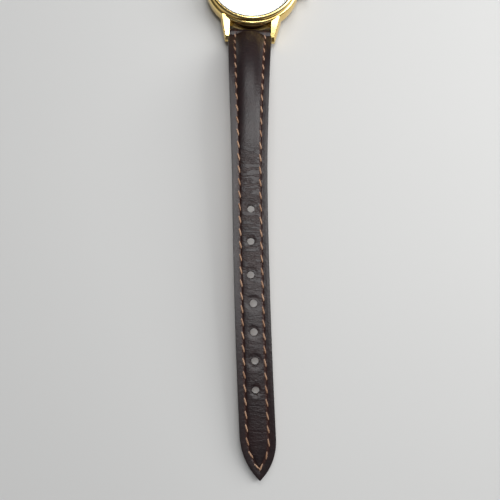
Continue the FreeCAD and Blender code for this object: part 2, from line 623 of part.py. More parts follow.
def crown():
    rib = 2 * math.pi * CROWN_R / CROWN_RIBS
    body = rod(CROWN_R, CROWN_START, CROWN_END - 0.2, 0, STEM_Z)
    dome = Part.makeCone(CROWN_R, CROWN_R - 0.45, 0.2, V(CROWN_END - 0.2, 0, STEM_Z), ALONG_X)
    body = body.fuse(dome).removeSplitter()
    grooves = []
    for k in range(CROWN_RIBS):
        y, z = polar(CROWN_R, 360.0 * k / CROWN_RIBS, 0, STEM_Z)
        grooves.append(rod(rib * 0.28, CROWN_START - 1, CROWN_END + 1, y, z))
    body = body.cut(Part.makeCompound(grooves))
    body = body.cut(rod(CROWN_BORE_R, CROWN_START - 1, CROWN_BORE_END, 0, STEM_Z))
    return body.cut(rod(STEM_R + PRESS_GAP, CROWN_START - 1, CROWN_END - 0.4, 0, STEM_Z))


def crown_seal():
    outer = rod(CROWN_BORE_R - PRESS_GAP, CROWN_START + 0.05, CROWN_START + 0.30, 0, STEM_Z)
    return outer.cut(rod(TUBE_R + RUN_GAP, 0, CROWN_END, 0, STEM_Z))


def groove_cutter(radius, middle, width, outside):
    """Ring that cuts a groove of the given floor radius round the stem axis."""
    cutter = rod(outside, middle - width / 2, middle + width / 2, 0, STEM_Z)
    return cutter.cut(rod(radius, 0, CROWN_END, 0, STEM_Z))


def winding_stem():
    square_start = CLUTCH_X - 0.25
    square_end = CLUTCH_X + CLUTCH_LENGTH + 0.7
    pivot = rod(PIVOT_BORE_R, CLUTCH_X - 1.55, square_start, 0, STEM_Z)
    square = block(square_start, square_end, -SQUARE_HALF, SQUARE_HALF,
                   STEM_Z - SQUARE_HALF, STEM_Z + SQUARE_HALF)
    shaft = rod(STEM_R, square_end, CROWN_END - 0.42, 0, STEM_Z)
    return fuse([pivot, square, shaft]).cut(groove_cutter(STEM_GROOVE_R, GROOVE_X, STEM_GROOVE, STEM_R + 1))


def clutch():
    sleeve = rod(CLUTCH_R, CLUTCH_X, CLUTCH_X + CLUTCH_LENGTH, 0, STEM_Z)
    half = SQUARE_HALF + 0.03
    sleeve = sleeve.cut(block(0, CROWN_END, -half, half, STEM_Z - half, STEM_Z + half))
    sleeve = sleeve.cut(groove_cutter(CLUTCH_GROOVE_R, YOKE_PEG_X, CLUTCH_GROOVE, CLUTCH_R + 1))
    for k in range(12):
        y, z = polar(CLUTCH_R, 30.0 * k, 0, STEM_Z)
        sleeve = sleeve.cut(rod(0.09, CLUTCH_X - 1, CLUTCH_X + 0.25, y, z))
    return sleeve


def lever(low, peg_x, peg_top, pivot_x, pivot_y):
    """Flat lever with an upright peg over the stem axis and a bore at its pivot."""
    outward = 1 if pivot_y > 0 else -1
    high = low + LEVER_THICK
    far = pivot_y + outward * 0.45
    plate = plan_prism([(pivot_x - 0.4, far), (pivot_x + 0.4, far),
                        (peg_x + 0.25, -outward * 0.2), (peg_x - 0.25, -outward * 0.2)], low, high)
    peg = disc(PEG_R, high, peg_top, peg_x, 0)
    return fuse([plate, peg]).cut(disc(LEVER_POST_R + RUN_GAP, 0, 9, pivot_x, pivot_y))


def setting_lever():
    return lever(LEVER_Z, GROOVE_X, STEM_Z - STEM_GROOVE_R - RUN_GAP, GROOVE_X, -LEVER_ARM)


def yoke():
    return lever(YOKE_Z, YOKE_PEG_X, STEM_Z - CLUTCH_GROOVE_R - RUN_GAP, YOKE_PEG_X + YOKE_SET, YOKE_ARM)


# ---- strap geometry -----------------------------------------------------------------------
class Bend:
    """Side view of a strap half: a chain of straight runs and arcs, by length along it."""

    def __init__(self, side, rise, runs, taper, pad):
        self.side = side
        self.taper = taper
        self.pad = pad
        self.spans = []
        y, z, heading = BAR_Y, BAR_Z, rise
        for length, turn in runs:
            self.spans.append((y, z, heading, length, turn))
            y, z, heading = self.step(y, z, heading, length, turn, length)
        self.length = sum(span[3] for span in self.spans)

    @staticmethod
    def step(y, z, heading, length, turn, distance):
        a = math.radians(heading)
        if turn == 0.0:
            return y + distance * math.cos(a), z + distance * math.sin(a), heading
        rate = math.radians(turn) / length
        b = a + rate * distance
        return (y + (math.sin(b) - math.sin(a)) / rate, z - (math.cos(b) - math.cos(a)) / rate,
                math.degrees(b))

    def at(self, s):
        """(distance from the case centre, height, heading) of the seam line."""
        for y, z, heading, length, turn in self.spans:
            if s <= length or (y, z, heading, length, turn) == self.spans[-1]:
                return self.step(y, z, heading, length, turn, s)
            s -= length

    def offset(self, s, rise):
        y, z, heading = self.at(s)
        a = math.radians(heading)
        return V(0, self.side * (y - rise * math.sin(a)), z + rise * math.cos(a))


LONG = Bend(-1, LONG_RISE, LONG_RUNS, LONG_TAPER, LONG_PAD)
SHORT = Bend(1, SHORT_RISE, SHORT_RUNS, SHORT_TAPER, SHORT_PAD)
PLAN_TALL = 20.0


def smooth(t):
    t = max(0.0, min(1.0, t))
    return t * t * (3 - 2 * t)


def pad_rise(bend, s):
    """Extra thickness that the padding gives the top leather."""
    rise_in = smooth((s - 0.5) / 1.8)
    fall_out = 1.0 - smooth((s - 8.0) / (bend.pad - 8.0))
    return PAD_RISE * rise_in * fall_out


def pad_height(bend, s):
    """Top of the padding above the seam, thin at both ends."""
    start = smooth((s - PAD_START) / 3.0)
    fall_out = 1.0 - smooth((s - 8.0) / (bend.pad - PAD_MARGIN - 8.0))
    return PAD_EDGE + (PAD_THICK - PAD_EDGE) * start * fall_out


def half_width(bend, s):
    """Half the strap's width, tapering by a smooth curve to the parallel stretch."""
    left = max(0.0, 1.0 - s / bend.taper)
    return (STRAP_NARROW + (STRAP_WIDE - STRAP_NARROW) * left ** 1.35) / 2.0


def sideways(bend, s):
    """Sideways set of the strap's middle at a length along it."""
    if bend is SHORT:
        return 0.0
    run = max(0.0, s - 3.0)
    lean = math.tan(math.radians(LONG_LEAN)) * run
    return lean + LONG_BOW * (run / bend.length) ** 2


def band(bend, s0, s1, low, high, count=20):
    """Side-view band between two offsets of the seam line, extruded right across."""
    stations = [s0 + (s1 - s0) * k / (count - 1) for k in range(count)]
    under = [bend.offset(s, low(s)) for s in stations]
    over = [bend.offset(s, high(s)) for s in reversed(stations)]
    curves = []
    for line in (under, over):
        curve = Part.BSplineCurve()
        curve.interpolate(line)
        curves.append(curve.toShape())
    ends = [Part.LineSegment(under[-1], over[0]).toShape(), Part.LineSegment(over[-1], under[0]).toShape()]
    wire = Part.Wire([curves[0], ends[0], curves[1], ends[1]])
    face = Part.Face(wire)
    face.translate(V(-PLAN_TALL, 0, 0))
    return face.extrude(V(2 * PLAN_TALL, 0, 0))


def plan(bend, s0, s1, inset=0.0, tip=0.0, count=12):
    """Plan outline of a strap half as an upright prism, with an optional pointed tip."""
    body_end = s1 - tip
    stations = [s0 + (body_end - s0) * k / (count - 1) for k in range(count)]

    def edge(sign):
        return [V(sideways(bend, s) + sign * (half_width(bend, s) - inset), bend.side * bend.at(s)[0], 0)
                for s in stations]

    left, right = edge(-1), edge(1)
    edges = []
    for line in (left, right):
        curve = Part.BSplineCurve()
        curve.interpolate(line)
        edges.append(curve.toShape())
    edges.append(Part.LineSegment(left[0], right[0]).toShape())
    if tip:
        point = V(sideways(bend, s1), bend.side * bend.at(s1)[0], 0)
        middle_s = s1 - tip * TIP_WAIST_BACK
        middle_half = (half_width(bend, s1) - inset) * TIP_WAIST
        for sign, start in ((-1, left[-1]), (1, right[-1])):
            middle = V(sideways(bend, middle_s) + sign * middle_half, bend.side * bend.at(middle_s)[0], 0)
            edges.append(Part.Arc(start, middle, point).toShape())
    else:
        edges.append(Part.LineSegment(left[-1], right[-1]).toShape())
    wire = Part.Wire(Part.__sortEdges__(edges))
    return Part.Face(wire).extrude(V(0, 0, PLAN_TALL))


def eye(side, y, z, width):
    """Leather rolled round a spring bar."""
    roll = rod(EYE_R, -width / 2, width / 2, side * y, z)
    return roll.cut(rod(BAR_R + BAR_ROOM, -PLAN_TALL, PLAN_TALL, side * y, z))


def holes_cutter():
    cutters = []
    for k in range(HOLES):
        s = FIRST_HOLE + k * HOLE_PITCH
        base = LONG.offset(s, -3)
        top = LONG.offset(s, 4)
        x = sideways(LONG, s)
        start = V(x, base.y, base.z)
        cutters.append(Part.makeCylinder(HOLE_R, 7, start, V(0, top.y - base.y, top.z - base.z)))
    return Part.makeCompound(cutters)


def neck_cutter(side):
    """Takes the strap's sides down to the lug gap near the spring bar."""
    far = BAR_Y + STRAP_NECK
    low, high = sorted((side * (BAR_Y - 3), side * far))
    half = STRAP_IN_LUGS / 2
    return [block(-PLAN_TALL, -half, low, high, -5, PLAN_TALL), block(half, PLAN_TALL, low, high, -5, PLAN_TALL)]


def bar_clearance(side):
    return rod(BAR_R + BAR_ROOM, -PLAN_TALL, PLAN_TALL, side * BAR_Y, BAR_Z)


def strap_top(bend, tip, end_cut):
    """Grain leather: rolled round the bar, hollow over the padding."""
    leather = band(bend, 0.3, bend.length, lambda s: 0.0, lambda s: LEATHER_THICK + pad_rise(bend, s), 36)
    leather = leather.common(plan(bend, 0.0, bend.length, 0.0, tip))
    cavity_end = bend.pad - PAD_MARGIN + 0.4
    cavity_start = PAD_START - 0.1
    cavity = band(bend, cavity_start, cavity_end, lambda s: -0.1, lambda s: pad_height(bend, s) + PAD_ROOM)
    cavity = cavity.common(plan(bend, cavity_start, cavity_end, PAD_SIDE - PAD_ROOM))
    leather = leather.cut(cavity)
    leather = leather.fuse(eye(bend.side, BAR_Y, BAR_Z, STRAP_IN_LUGS))
    for cutter in neck_cutter(bend.side) + [bar_clearance(bend.side)] + end_cut:
        leather = leather.cut(cutter)
    return leather


def strap_padding(bend):
    end = bend.pad - PAD_MARGIN
    pad = band(bend, PAD_START, end, lambda s: 0.03, lambda s: pad_height(bend, s))
    return pad.common(plan(bend, PAD_START, end, PAD_SIDE))


def strap_lining(bend, tip, end_cut):
    lining = band(bend, 0.3, bend.length, lambda s: -LINING_THICK, lambda s: 0.0, 36)
    lining = lining.common(plan(bend, 1.0, bend.length, 0.0, tip))
    roll = rod(EYE_R + 0.01, -PLAN_TALL, PLAN_TALL, bend.side * BAR_Y, BAR_Z)
    for cutter in neck_cutter(bend.side) + [roll] + end_cut:
        lining = lining.cut(cutter)
    return max(lining.Solids, key=lambda solid: solid.Volume)


def stitch_spots(bend, last, tip):
    """(length along, distance from the middle, turn towards the middle) of each stitch of a row."""
    spots = []
    travel = STITCH_START
    while travel < last:
        spots.append((travel, half_width(bend, travel) - STITCH_INSET, 0.0))
        travel += STITCH_PITCH
    if not tip:
        return spots
    half = half_width(bend, bend.length)
    start = V(bend.length - tip, half, 0)
    waist = V(bend.length - tip * TIP_WAIST_BACK, half * TIP_WAIST, 0)
    arc = Part.Arc(start, waist, V(bend.length, 0, 0)).toShape().Curve
    centre, radius = arc.Center, arc.Radius - STITCH_INSET
    angle = math.atan2(start.y - centre.y, start.x - centre.x) - (travel - last) / radius
    while centre.y + radius * math.sin(angle) > STITCH_R + 0.1:
        spots.append((centre.x + radius * math.cos(angle), centre.y + radius * math.sin(angle),
                      math.pi / 2 - angle))
        angle -= STITCH_PITCH / radius
    return spots


def strap_thread(bend, last, tip):
    """Two rows of slanted stitches lying in the grain leather, meeting in a V at a pointed tip."""
    stitches = []
    for s, out, turn in stitch_spots(bend, last, tip):
        height = LEATHER_THICK + pad_rise(bend, s) - 0.02
        for sign in (-1, 1):
            reach = STITCH_LENGTH / 2 * math.cos(turn)
            lean = STITCH_LEAN * bend.side + sign * STITCH_LENGTH / 2 * math.sin(turn)
            start = bend.offset(s - reach, height)
            end = bend.offset(s + reach, height)
            x = sideways(bend, s) + sign * out
            a = V(x + lean, start.y, start.z)
            b = V(x - lean, end.y, end.z)
            run = b.sub(a)
            stitches.append(Part.makeCylinder(STITCH_R, run.Length, a, run))
    return stitches


# ---- keepers and buckle -------------------------------------------------------------------
def keeper(s, bend, tall):
    """Leather loop round the short strap, leaving room for the tail above it."""
    y, z, heading = bend.at(s)
    half = STRAP_NARROW / 2 + KEEPER_SIDE
    low = -LINING_THICK - KEEPER_UNDER
    loop = block(-half - KEEPER_WALL, half + KEEPER_WALL, -KEEPER_WIDTH / 2, KEEPER_WIDTH / 2,
                 low - KEEPER_WALL, tall + KEEPER_WALL)
    loop = loop.cut(block(-half, half, -KEEPER_WIDTH, KEEPER_WIDTH, low, tall))
    loop.rotate(V(0, 0, 0), ALONG_X, heading)
    loop.translate(V(0, bend.side * y, z))
    return loop


def buckle_place(shape):
    """Puts a shape drawn flat, with the bar on the X axis, at the strap's buckle end."""
    y, z, heading = SHORT.at(SHORT.length)
    shape.rotate(V(0, 0, 0), ALONG_X, BUCKLE_TILT)
    shape.translate(V(0, y, z))
    return shape


def buckle_frame():
    half_in = BUCKLE_INSIDE / 2
    half_out = half_in + BUCKLE_WIRE
    wire = BUCKLE_WIRE
    outer = plan_prism([(-half_out, -BUCKLE_EAR), (half_out, -BUCKLE_EAR), (half_out, BUCKLE_LENGTH - BUCKLE_SHOULDER),
                        (half_out - BUCKLE_CORNER, BUCKLE_LENGTH), (-half_out + BUCKLE_CORNER, BUCKLE_LENGTH),
                        (-half_out, BUCKLE_LENGTH - BUCKLE_SHOULDER)], -wire / 2, wire / 2)
    inner = plan_prism([(-half_in, -BUCKLE_EAR - 1), (half_in, -BUCKLE_EAR - 1), (half_in, BUCKLE_LENGTH - 2.6),
                        (half_in - 1.1, BUCKLE_LENGTH - wire), (-half_in + 1.1, BUCKLE_LENGTH - wire),
                        (-half_in, BUCKLE_LENGTH - 2.6)], -wire, wire)
    frame = outer.cut(inner)
    ears = [rod(wire / 2 + EAR_SWELL, -half_out, -half_in), rod(wire / 2 + EAR_SWELL, half_in, half_out)]
    frame = fuse([frame] + ears)
    frame = frame.cut(rod(TIP_R + RUN_GAP, -half_in - TIP_REACH - RUN_GAP, half_in + TIP_REACH + RUN_GAP))
    return buckle_place(frame)


def buckle_tongue():
    rest_z = BUCKLE_WIRE / 2 + 0.05
    half = TONGUE_WIDTH / 2
    roll = rod(BAR_R + BAR_ROOM + TONGUE_WALL, -half, half)
    root = V(0, 0.8, rest_z + 0.2)
    tip = V(0, BUCKLE_LENGTH + 0.1, rest_z)
    side = [V(-half, 0.0, 0.45), V(-half, root.y, root.z + 0.35), V(-half, tip.y, tip.z + 0.55),
            V(-half, tip.y + 0.1, tip.z + 0.05), V(-half, root.y, root.z - 0.35), V(-half, 0.3, -0.2)]
    blade = outline(side).extrude(V(TONGUE_WIDTH, 0, 0))
    body = fuse([roll, blade]).cut(rod(BAR_R + BAR_ROOM, -5, 5))
    return buckle_place(body)


def buckle_eye():
    """Short strap's turned end round the buckle's bar, slotted for the tongue."""
    y, z, heading = SHORT.at(SHORT.length)
    return eye(1, y, z, STRAP_NARROW), rod(BAR_R + BAR_ROOM, -PLAN_TALL, PLAN_TALL, y, z)


# ---- spring bars --------------------------------------------------------------------------
def spring_bar(name, inside, y, z):
    """Tube with two sprung tips and the spring between them, for a gap of the given width."""
    half = inside / 2 - 0.06
    bore = BAR_R - BAR_WALL
    collar = bore - 0.02
    tube = rod(BAR_R, -half, half, y, z).cut(rod(bore, -half + 0.25, half - 0.25, y, z))
    tube = tube.cut(rod(TIP_R + 0.03, -half - 1, half + 1, y, z))
    save(tube, "%s_bar_tube" % name)
    inner = half - 0.27 - TIP_TRAVEL
    for side, label in ((-1, "left"), (1, "right")):
        pin = rod(TIP_R, inner - TIP_SHANK, inside / 2 + TIP_REACH, y, z)
        head = rod(collar, inner - TIP_SHANK, inner - TIP_SHANK + 0.4, y, z)
        tip = pin.fuse(head).removeSplitter()
        tip = tip.mirror(V(0, 0, 0), ALONG_X) if side < 0 else tip
        save(tip, "%s_bar_%s_tip" % (name, label))
    reach = inner - TIP_SHANK - 0.02
    wire = SPRING_WIRE / 2
    coil_r = bore - RUN_GAP - wire
    span = 2 * (reach - wire)
    helix = Part.makeHelix(span / SPRING_COILS, span, coil_r)
    corners = [V(coil_r + a * wire, 0, b * wire) for a, b in ((-1, -1), (1, -1), (1, 1), (-1, 1), (-1, -1))]
    spring = Part.Wire(helix).makePipeShell([Part.makePolygon(corners)], True, True)
    spring.rotate(V(0, 0, 0), V(0, 1, 0), 90)
    spring.translate(V(-span / 2, y, z))
    save(spring, "%s_bar_spring" % name)


# ---- build --------------------------------------------------------------------------------
os.makedirs("parts", exist_ok=True)

save(case_middle(), "case_middle")
save(bezel(), "bezel")
save(crystal(), "crystal")
save(crystal_gasket(), "crystal_gasket")
save(case_back(), "case_back")
save(case_back_gasket(), "case_back_gasket")
save(dial(), "dial")
save(hour_markers(), "hour_markers")
save(hand(HOUR_HAND, HOUR_HAND_Z, HOUR_ANGLE, HOUR_TUBE_R), "hour_hand")
save(hand(MINUTE_HAND, MINUTE_HAND_Z, MINUTE_HAND_ANGLE, CANNON_R), "minute_hand")
save(rotor(), "rotor")
save(intermediate_wheel(), "intermediate_wheel")
save(third_wheel(), "third_wheel")
save(centre_wheel(), "centre_wheel")
save(cannon_pinion(), "cannon_pinion")
save(minute_wheel(), "minute_wheel")
save(hour_wheel(), "hour_wheel")
save(setting_wheel(), "setting_wheel")
save(main_plate(), "main_plate")
save(train_bridge(), "train_bridge")
save(movement_screws(), "movement_screws")
save(battery(), "battery")
save(battery_bridle(), "battery_bridle")
save(circuit_board(), "circuit_board")
save(quartz_can(), "quartz_can")
save(coil(), "coil")
save(stator(), "stator")
save(movement_ring(), "movement_ring")
save(crown_tube(), "crown_tube")
save(crown(), "crown")
save(crown_seal(), "crown_seal")
save(winding_stem(), "winding_stem")
save(clutch(), "clutch")
save(setting_lever(), "setting_lever")
save(yoke(), "yoke")

holes = holes_cutter()
save(strap_top(LONG, LONG_TIP, [holes]), "long_strap_top")
save(strap_lining(LONG, LONG_TIP, [holes]), "long_strap_lining")
save(strap_padding(LONG), "long_strap_padding")
save(strap_thread(LONG, LONG.length - LONG_TIP, LONG_TIP), "long_strap_thread")

buckle_roll, buckle_bar_room = buckle_eye()
tongue_slot = TONGUE_WIDTH / 2 + TONGUE_SLOT
buckle_y = SHORT.at(SHORT.length)[0]
slot_box = block(-tongue_slot, tongue_slot, buckle_y - 2.6, buckle_y + 3, -5, PLAN_TALL)
short_top = strap_top(SHORT, 0.0, []).fuse(buckle_roll).cut(slot_box).cut(buckle_bar_room)
save(short_top, "short_strap_top")
roll_room = rod(EYE_R + 0.01, -PLAN_TALL, PLAN_TALL, buckle_y, SHORT.at(SHORT.length)[1])
save(strap_lining(SHORT, 0.0, [slot_box, roll_room]), "short_strap_lining")
save(strap_padding(SHORT), "short_strap_padding")
save(strap_thread(SHORT, SHORT.length - SHORT_ROW_END, 0.0), "short_strap_thread")

keeper_top = LEATHER_THICK + STITCH_R + 0.02
tail_room = LINING_THICK + LEATHER_THICK + TAIL_ROOM
fixed_s = SHORT.length - FIXED_KEEPER_BACK
free_s = SHORT.length - FREE_KEEPER_BACK
save(keeper(fixed_s, SHORT, keeper_top + tail_room), "fixed_keeper")
save(keeper(free_s, SHORT, keeper_top + tail_room), "free_keeper")
save(buckle_frame(), "buckle_frame")
save(buckle_tongue(), "buckle_tongue")

spring_bar("six", LUG_GAP, -BAR_Y, BAR_Z)
spring_bar("twelve", LUG_GAP, BAR_Y, BAR_Z)
buckle_at = SHORT.at(SHORT.length)
spring_bar("buckle", BUCKLE_INSIDE, buckle_at[0], buckle_at[1])

print("long strap end", LONG.at(LONG.length), "length", LONG.length)
print("long strap crest", max(LONG.at(k * 1.0)[1] for k in range(60)))
print("short strap end", SHORT.at(SHORT.length), "length", SHORT.length)
print("arbors", THIRD_AT, INTERMEDIATE_AT, ROTOR_AT, MINUTE_AT, SETTING_AT)
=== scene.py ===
# %% [markdown]
# # A ladies' wristwatch on a padded leather strap
# The watch lies face up on a pale table. Its case, movement and joints come ready made as a
# fixed frame from the CAD model. This lesson gives that frame its looks: leather that is
# crowned over its padding, waxed stitches, polished gilt metal and a silvery dial.
# We start by loading the frame, because every later piece takes its place and size from it.

# %% Load the watch
import json
import math
import bpy
import bmesh
import numpy as np
from mathutils import Matrix, Vector


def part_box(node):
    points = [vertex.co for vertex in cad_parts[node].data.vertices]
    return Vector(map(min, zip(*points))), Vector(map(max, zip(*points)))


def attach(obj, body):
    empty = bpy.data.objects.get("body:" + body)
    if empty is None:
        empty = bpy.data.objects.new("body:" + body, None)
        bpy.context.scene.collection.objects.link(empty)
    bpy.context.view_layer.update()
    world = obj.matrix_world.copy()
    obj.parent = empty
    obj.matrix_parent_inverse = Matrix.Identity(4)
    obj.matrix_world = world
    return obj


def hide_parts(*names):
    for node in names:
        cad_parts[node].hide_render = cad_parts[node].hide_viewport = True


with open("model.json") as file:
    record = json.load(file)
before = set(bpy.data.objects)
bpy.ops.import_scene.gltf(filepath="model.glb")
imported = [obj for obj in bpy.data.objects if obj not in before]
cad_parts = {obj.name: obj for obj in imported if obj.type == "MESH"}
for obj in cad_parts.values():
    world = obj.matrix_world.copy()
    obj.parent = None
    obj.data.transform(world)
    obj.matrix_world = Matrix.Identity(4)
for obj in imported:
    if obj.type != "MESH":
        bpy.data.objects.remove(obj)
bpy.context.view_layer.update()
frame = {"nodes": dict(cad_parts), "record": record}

nodes = frame["nodes"]
MM = 0.001

# %% [markdown]
# ## Ways of working
# Blender's operators act on whatever is selected, and a freshly imported frame is selected all
# over. So every piece starts from an empty selection. These few helpers do what a hand on the
# mouse would do: pick one piece, go into edit mode, select by place, and come back out.

# %% Selecting and finishing helpers
def nothing_selected():
    if bpy.context.mode != "OBJECT":
        bpy.ops.object.mode_set(mode="OBJECT")
    bpy.ops.object.select_all(action="DESELECT")


def only(piece):
    nothing_selected()
    piece.select_set(True)
    bpy.context.view_layer.objects.active = piece
    return piece


def edit(piece, kind="VERT"):
    only(piece)
    bpy.ops.object.mode_set(mode="EDIT")
    bpy.ops.mesh.select_mode(type=kind)
    bpy.ops.mesh.select_all(action="DESELECT")


def pick_faces(piece, rule):
    """In edit mode, selects the faces whose middle and normal pass the rule."""
    mesh = bmesh.from_edit_mesh(piece.data)
    for face in mesh.faces:
        face.select_set(bool(rule(face.calc_center_median() / MM, face.normal)))
    bmesh.update_edit_mesh(piece.data)


def settle(piece, weld=True):
    """Place into the mesh, doubles merged, normals outward."""
    only(piece)
    bpy.ops.object.transform_apply(location=True, rotation=True, scale=True)
    bpy.ops.object.mode_set(mode="EDIT")
    bpy.ops.mesh.select_all(action="SELECT")
    if weld:
        bpy.ops.mesh.remove_doubles(threshold=1e-6)
    bpy.ops.mesh.normals_make_consistent(inside=False)
    bpy.ops.object.mode_set(mode="OBJECT")
    return piece


def modify(piece, kind, **settings):
    """Adds a modifier, sets it and applies it."""
    only(piece)
    modifier = piece.modifiers.new(kind.title(), kind)
    for key, value in settings.items():
        setattr(modifier, key, value)
    bpy.ops.object.modifier_apply(modifier=modifier.name)
    return piece


def round_edges(piece, width, segments=3, angle=30):
    modify(piece, "BEVEL", width=width * MM, segments=segments, limit_method="ANGLE",
           angle_limit=math.radians(angle), use_clamp_overlap=True)


def cut_with(piece, cutter):
    modify(piece, "BOOLEAN", operation="DIFFERENCE", solver="EXACT", object=cutter)
    bpy.data.objects.remove(cutter)


def copied(piece, name):
    twin = piece.copy()
    twin.data = piece.data.copy()
    twin.name = name
    bpy.context.scene.collection.objects.link(twin)
    return twin


def joined(pieces, name):
    nothing_selected()
    for piece in pieces:
        piece.select_set(True)
    bpy.context.view_layer.objects.active = pieces[0]
    if len(pieces) > 1:
        bpy.ops.object.join()
    piece = bpy.context.view_layer.objects.active
    piece.name = name
    return piece


def hand_over(piece, name, slot, body, *replaced, smooth=35):
    """Names a finished piece, smooths it, gives it its finish and lets it ride on its body."""
    only(piece)
    piece.name = name
    piece.data.name = name
    bpy.ops.object.shade_smooth_by_angle(angle=math.radians(smooth))
    piece.data.materials.clear()
    piece.data.materials.append(FINISHES[slot])
    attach(piece, body)
    if replaced:
        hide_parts(*replaced)
    print(name, "faces", len(piece.data.polygons))
    return piece


def corners_of(piece):
    return np.array([v.co for v in piece.data.vertices])


def write_values(piece, **values):
    """Stores one number per point under each name, for the finishes to read."""
    for label, numbers in values.items():
        layer = piece.data.attributes.new(label, "FLOAT", "POINT")
        layer.data.foreach_set("value", numbers.astype(np.float32))


def close_ends(piece):
    """Fills the open rims of a sheet or tube."""
    edit(piece, "EDGE")
    bpy.ops.mesh.select_non_manifold()
    bpy.ops.mesh.fill_holes(sides=0)
    return settle(piece)


def middle(node):
    low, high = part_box(node)
    return (low + high) / 2


# %% [markdown]
# ## Writing shader maths as plain sums
# A material here is a small network of nodes. Wiring them by hand hides the idea behind the
# mechanics, so one class wraps a socket and lets ordinary arithmetic add the Math nodes, and
# one method adds any other node. Numbers that never change stay on the shader's own sockets.

# %% Finish and Wire classes
class Wire:
    """A node's output. Sums on it add Math nodes."""

    def __init__(self, finish, socket):
        self.finish = finish
        self.socket = socket

    def maths(self, operation, *values):
        inputs = dict(enumerate(values))
        return self.finish.node("ShaderNodeMath", {"operation": operation}, inputs)

    def __add__(self, other): return self.maths("ADD", self, other)
    def __radd__(self, other): return self.maths("ADD", other, self)
    def __sub__(self, other): return self.maths("SUBTRACT", self, other)
    def __rsub__(self, other): return self.maths("SUBTRACT", other, self)
    def __mul__(self, other): return self.maths("MULTIPLY", self, other)
    def __rmul__(self, other): return self.maths("MULTIPLY", other, self)
    def __pow__(self, other): return self.maths("POWER", self, other)
    def size(self): return self.maths("ABSOLUTE", self)
    def sine(self): return self.maths("SINE", self)

    def clear_step(self, low, high):
        """0 below low, 1 above high, smooth between."""
        inputs = {"Value": self, "From Min": low, "From Max": high}
        settings = {"interpolation_type": "SMOOTHSTEP", "clamp": True}
        return self.finish.node("ShaderNodeMapRange", settings, inputs)


class Finish:
    """A material under construction: its tree, its shader and the wires between them."""

    def __init__(self, name, **constants):
        self.material = bpy.data.materials.new(name)
        self.material.use_nodes = True
        self.tree = self.material.node_tree
        self.shader = self.tree.nodes["Principled BSDF"]
        for socket, value in constants.items():
            self.shader.inputs[socket.replace("_", " ")].default_value = value

    def node(self, kind, settings=None, inputs=None, output=0):
        node = self.tree.nodes.new(kind)
        for key, value in (settings or {}).items():
            setattr(node, key, value)
        for key, value in (inputs or {}).items():
            self.set(node.inputs[key], value)
        return Wire(self, node.outputs[output])

    def set(self, socket, value):
        if isinstance(value, Wire):
            self.tree.links.new(value.socket, socket)
        elif value is not None:
            socket.default_value = value

    def feed(self, socket, value):
        self.set(self.shader.inputs[socket], value)

    def place(self, scale=(1, 1, 1)):
        """Object coordinates, stretched by scale."""
        coordinates = self.node("ShaderNodeTexCoord", output=3)
        return self.node("ShaderNodeMapping", {}, {"Vector": coordinates, "Scale": scale})

    def attribute(self, name):
        return self.node("ShaderNodeAttribute", {"attribute_name": name}, output=2)

    def vector(self, x, y, z):
        return self.node("ShaderNodeCombineXYZ", {}, {0: x, 1: y, 2: z})

    def parts(self, vector):
        return [self.node("ShaderNodeSeparateXYZ", {}, {0: vector}, output=k) for k in range(3)]

    def noise(self, vector, scale, detail=3.0, roughness=0.5):
        inputs = {"Vector": vector, "Scale": scale, "Detail": detail, "Roughness": roughness}
        return self.node("ShaderNodeTexNoise", {}, inputs)

    def cells(self, vector, scale, feature="F1"):
        return self.node("ShaderNodeTexVoronoi", {"feature": feature}, {"Vector": vector, "Scale": scale})

    def mix(self, factor, a, b):
        return self.node("ShaderNodeMix", {"data_type": "RGBA"}, {0: factor, 6: a, 7: b}, output=2)

    def bump(self, height, depth, after=None):
        inputs = {"Height": height, "Distance": depth, "Strength": 1.0, "Normal": after}
        return self.node("ShaderNodeBump", {}, inputs)


FINISHES = {}

# %% [markdown]
# ## Leather
# The strap's outside is smooth calf, dyed a very dark oxblood and rubbed to a soft gloss. Close
# up it has three scales of detail: a fine pebble of pores, cross creases where the strap has
# been bent through a buckle, and a broad cloudiness of the dye. A printed pattern would do,
# but would stretch on a curved strap, so the pattern is drawn by nodes on three attributes that
# the strap's mesh carries: the distance along it, the distance across it and the distance from
# its edge. The cut edge is painted nearly black, and the groove under the stitches is browner.

# %% Oxblood calf
INSET = 1.65        # stitch row in from the edge, in millimetres


